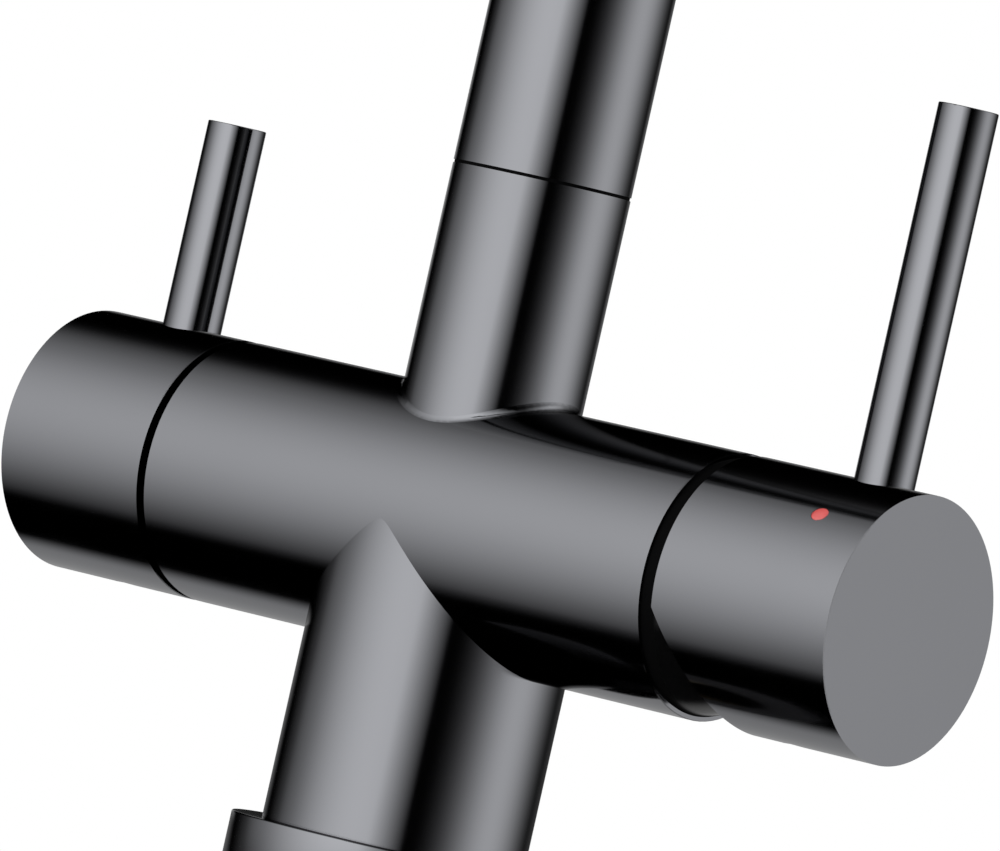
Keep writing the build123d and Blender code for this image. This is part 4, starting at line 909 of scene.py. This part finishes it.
# %% Turn the levers and cut their spigots
LEVERS = {
    # body, place along the cross tube, top
    "filter_lever": ("filter_lever_body", -70.5, 128.0),
    "mixer_lever": ("mixer_lever_body", 87.3, 156.8),
}
LEVER_RADIUS, LEVER_EDGE = 5.3, 0.2
LEVER_SEAT = 89.2
SPIGOT_LENGTH, SPIGOT_OVERLAP = 9.0, 0.02
for name, (body, x, top) in LEVERS.items():
    rod_profile = [(0, LEVER_SEAT), (LEVER_RADIUS, LEVER_SEAT)]
    rod_profile += rounded(LEVER_RADIUS, top, LEVER_EDGE) + [(0, top)]
    rod = turned(name + "_turned", body, name, rod_profile, plated_round_z,
                 place=(x, 0, 0))
    rod.visible_glossy = False
    spigot = mesh_from_tree(name + "_spigot", threading, {
        "Crest radius": 3.0 * MM, "Depth": 0.55 * MM, "Pitch": 1.0 * MM,
        "Low end": (LEVER_SEAT - SPIGOT_LENGTH) * MM,
        "High end": (LEVER_SEAT + SPIGOT_OVERLAP) * MM, "Bore radius": 0.0,
        "Run out": 0.8 * MM, "Steps round": 48, "Place": (x * MM, 0, 0), "Finish": steel})
    finished_piece(name + "_spigot", spigot, body, None)

# %% [markdown]
# ## The swan neck spout
#
# The spout is one drawn tube, bent over a round former and polished along its whole length.
# The tree sweeps two circles, the tube's outside and its bore, along the same centre line:
# straight up, half a turn over the front and straight down to the outlet. Clamping the angle
# between nought and half a turn writes all three stretches as one formula.

# %% The bent tube
bent_tube, given, answer = shape_tree("bent_tube", [
    ("Radius", "Float", 0.016), ("Wall", "Float", 0.0018), ("Foot", "Float", 0.13),
    ("Bend height", "Float", 0.269), ("Bend radius", "Float", 0.095), ("Tip", "Float", 0.228),
    ("Steps along", "Int", 160), ("Steps round", "Int", 96)])
calc = calculator(bent_tube)
steps = given["Steps along"]
rows = calc("ADD", calc("MULTIPLY", steps, 2.0), 2.0)
sheet, turn, row = bent_grid(bent_tube, given["Steps round"], rows)
number = calc("ROUND", calc("MULTIPLY", row, rows))
inside = calc("MULTIPLY", calc("GREATER_THAN", number, calc("ADD", steps, 0.5)),
              calc("LESS_THAN", number, calc("SUBTRACT", rows, 0.5)))
back_row = calc("SUBTRACT", calc("ADD", calc("MULTIPLY", steps, 2.0), 1.0), number)
share = calc("DIVIDE", calc("MAXIMUM", calc("MINIMUM", number, back_row), 0.0), steps)
rise = calc("SUBTRACT", given["Bend height"], given["Foot"])
fall = calc("SUBTRACT", given["Bend height"], given["Tip"])
bend = calc("MULTIPLY", given["Bend radius"], math.pi)
whole = calc("ADD", calc("ADD", rise, fall), bend)
travelled = calc("SUBTRACT", calc("MULTIPLY", share, whole), rise)
turned_by = calc("DIVIDE", travelled, given["Bend radius"])
turned_by = calc("MINIMUM", calc("MAXIMUM", turned_by, 0.0), math.pi)
before = calc("MAXIMUM", calc("MULTIPLY", travelled, -1.0), 0.0)
after = calc("MAXIMUM", calc("SUBTRACT", travelled, bend), 0.0)

# %% [markdown]
# At each row the circle stands square to the centre line. Its own two directions are across,
# which never changes, and outwards, which turns with the bend.

# %% Stand a circle on every row
ring_radius = calc("SUBTRACT", given["Radius"], calc("MULTIPLY", given["Wall"], inside))
angle = calc("MULTIPLY", turn, math.tau)
across = calc("MULTIPLY", ring_radius, calc("COSINE", angle))
out = calc("ADD", given["Bend radius"], calc("MULTIPLY", ring_radius, calc("SINE", angle)))
forward = calc("SUBTRACT", calc("MULTIPLY", out, calc("COSINE", turned_by)),
               given["Bend radius"])
upward = calc("ADD", given["Bend height"], calc("MULTIPLY", out, calc("SINE", turned_by)))
upward = calc("SUBTRACT", calc("SUBTRACT", upward, before), after)
skin = closed_skin(bent_tube, sheet, joined(bent_tube, across, forward, upward),
                   given["Finish"])
feed(bent_tube, answer["Geometry"], skin)
spout = mesh_from_tree("spout_drawn", bent_tube, {
    "Radius": 16.0 * MM, "Wall": 1.8 * MM, "Foot": 130.0 * MM, "Bend height": 269.0 * MM,
    "Bend radius": 95.0 * MM, "Tip": 228.0 * MM, "Steps along": 160, "Steps round": 96,
    "Finish": plated_round_z})
finished_piece("spout_drawn", spout, "spout", "spout_tube")

# %% [markdown]
# ## Index dots
#
# A dot of glossy enamel on each side of the mixer lever tells hot from cold: red in front and
# blue behind. The enamel is filled into a round recess and sets slightly domed, so it catches
# a small highlight.

# %% Fill the two dots
DOT_RADIUS = 1.54
DOT_BOTTOM, DOT_RIM, DOT_DOME = 22.9, 23.52, 0.30
DOT_PLACE = 88.0  # along the cross tube
DOTS = {
    # lean from straight up, finish, slot
    "hot_index_dot": (46.7, red_enamel, "red_enamel"),
    "cold_index_dot": (-46.7, blue_enamel, "blue_enamel"),
}
dot_profile = [(0, DOT_BOTTOM), (DOT_RADIUS, DOT_BOTTOM), (DOT_RADIUS, DOT_RIM)]
dot_profile += [(DOT_RADIUS * math.cos(math.radians(slope)),
                 DOT_RIM + DOT_DOME * math.sin(math.radians(slope)))
                for slope in range(10, 90, 10)]
dot_profile += [(0, DOT_RIM + DOT_DOME)]
for name, (lean, dot_finish, slot) in DOTS.items():
    turned(name + "_domed", "mixer_lever_body", name, dot_profile, dot_finish, steps=48,
           place=(DOT_PLACE, 0, AXIS_HEIGHT / MM), turn=(lean, 0, 0))

# %% [markdown]
# ## Lips round the outlet's holes
#
# The mixed water leaves through two rings of small holes in a plastic insert. Each hole of
# such an insert has a raised soft lip, from which lime is wiped off with a finger. The tree
# puts one lip on each point of two circles.

# %% Mould the lips
lips, given, answer = shape_tree("lips", [
    ("Inner pitch", "Float", 0.006), ("Inner count", "Int", 12), ("Outer pitch", "Float", 0.0083),
    ("Outer count", "Int", 18), ("Lip radius", "Float", 0.00118), ("Thickness", "Float", 0.00022),
    ("Place", "Vector", (0, 0, 0))])
ring = result(lips, "GeometryNodeCurvePrimitiveCircle", Resolution=20,
              Radius=given["Lip radius"])
section = result(lips, "GeometryNodeCurvePrimitiveCircle", Resolution=8,
                 Radius=given["Thickness"])
lip = result(lips, "GeometryNodeCurveToMesh", Curve=ring, Profile_Curve=section)
both = put(lips, "GeometryNodeJoinGeometry")
for row_name in ("Inner", "Outer"):
    points = result(lips, "GeometryNodeMeshCircle", Vertices=given[row_name + " count"],
                    Radius=given[row_name + " pitch"])
    placed = result(lips, "GeometryNodeInstanceOnPoints", Points=points, Instance=lip)
    feed(lips, both.inputs[0], placed)
moved = result(lips, "GeometryNodeTransform", Geometry=both.outputs[0],
               Translation=given["Place"])
whole = result(lips, "GeometryNodeRealizeInstances", Geometry=moved)
feed(lips, answer["Geometry"], result(
    lips, "GeometryNodeSetMaterial", Geometry=whole, Material=given["Finish"]))
outlet_lips = mesh_from_tree("outlet_lips", lips, {
    "Inner pitch": 6.0 * MM, "Inner count": 12, "Outer pitch": 8.3 * MM, "Outer count": 18,
    "Lip radius": 1.12 * MM, "Thickness": 0.2 * MM,
    "Place": [0, -190.0 * MM, 225.6 * MM], "Finish": white_plastic})
finished_piece("outlet_lips", outlet_lips, "spout", None)

# %% [markdown]
# ## True normals on the big castings
#
# The body and both handles are cut and drilled, so they keep their CAD meshes. Those meshes
# are right in shape, but where two faces of one cylinder meet, the shading normals are a few
# degrees off, and a mirror shows that as a step in its reflection. A copy of each is welded,
# and every corner that lies on one of the three cylinders gets that cylinder's exact normal.

# %% Tell which cylinder a face lies on


def out_of_tube(point):
    """The way from the cross tube's axis to the point."""
    return Vector((0, point.y, point.z - AXIS_HEIGHT))


def out_of_column(point):
    """The way from the column's axis to the point."""
    return Vector((point.x, point.y, 0))


CYLINDERS = [
    # the way out, radius, which direction the axis has, first and last place along it
    (out_of_tube, 23.6, 0, -200.0, 200.0),
    (out_of_column, 23.55, 2, 3.0, 67.2),
    (out_of_column, 16.0, 2, 67.2, 129.5),
]
NEAR_SURFACE, NEAR_END = 0.004, 0.01  # mm
BROKEN_EDGE = 0.16  # the width of a broken edge, in mm
SLANT = (0.3, 0.95)  # how far its faces turn from the side towards the end face


def way_out(corners):
    """The way out of the cylinder that all the corners of a face lie on."""
    for outwards, radius, axis, low, high in CYLINDERS:
        if all(abs(outwards(p).length / MM - radius) < NEAR_SURFACE
               and low - NEAR_END <= p[axis] / MM <= high + NEAR_END for p in corners):
            return outwards
    return None


def broken_edge(face, ends):
    """The normal for a face of the broken edge at one of the piece's round ends."""
    for x, seen in ends:
        slanted = SLANT[0] < abs(face.normal.x) < SLANT[1]
        if slanted and abs(face.center.x / MM - x) < BROKEN_EDGE:
            return seen
    return None


def corner_key(face, corner):
    """Tells a corner of a face by the places of both, to a thousandth of a millimetre."""
    return tuple(round(c * 1e6) for c in (*face.center, *corner))


print("cylinders:", len(CYLINDERS))

# %% [markdown]
# The first pass notes the normal of every corner as the CAD model has it. Then the copy is
# welded, and each corner gets its cylinder's own normal, or else the noted one. The narrow
# broken edge at a round end takes the normal of the side or of the end face, so that it doesn't
# glint as a thin ring that the photograph hasn't got.

# %% Dress a piece in its true normals
SAME_PLACE = 1e-6  # metres
LEAST_AGREEMENT = 0.5  # a normal that differs more from its face's own stays as it was


def with_true_normals(name, body, chosen, ends):
    """Replaces a CAD piece by a copy with exact normals."""
    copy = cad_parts[name].data.copy()
    kept = {}
    for face in copy.polygons:
        for loop, vertex in zip(face.loop_indices, face.vertices):
            key = corner_key(face, copy.vertices[vertex].co)
            kept[key] = Vector(copy.corner_normals[loop].vector)
    work = bmesh.new()
    work.from_mesh(copy)
    bmesh.ops.remove_doubles(work, verts=work.verts, dist=SAME_PLACE)
    work.to_mesh(copy)
    work.free()
    normals = []
    mended = 0
    for face in copy.polygons:
        corners = [copy.vertices[vertex].co for vertex in face.vertices]
        exact = way_out(corners)
        edge = broken_edge(face, ends)
        if edge == "side":
            exact = out_of_tube
        elif edge:
            exact = lambda p: edge
        for corner in corners:
            as_built = kept.get(corner_key(face, corner), face.normal)
            normal = exact(corner).normalized() if exact else as_built
            if exact and not edge and normal.dot(face.normal) < LEAST_AGREEMENT:
                normal = as_built
            elif exact:
                mended += 1
            normals.append(normal)
    copy.shade_smooth()
    copy.normals_split_custom_set(normals)
    copy.materials.clear()
    copy.materials.append(chosen)
    piece_of_tap(name + "_smooth", copy, body, name)
    print(f"{name}: {mended} of {len(normals)} corners set to a cylinder's own normal")


RIGHT_END, LEFT_END = Vector((1, 0, 0)), Vector((-1, 0, 0))
with_true_normals("body", "fixed_body", plated_cast, [(-54.4, "side"), (58.6, "side")])
with_true_normals("mixer_handle", "mixer_lever_body", plated_round_x,
                  [(61.4, "side"), (99.3, RIGHT_END)])
with_true_normals("filter_handle", "filter_lever_body", plated_round_x,
                  [(-56.2, "side"), (-88.4, LEFT_END)])
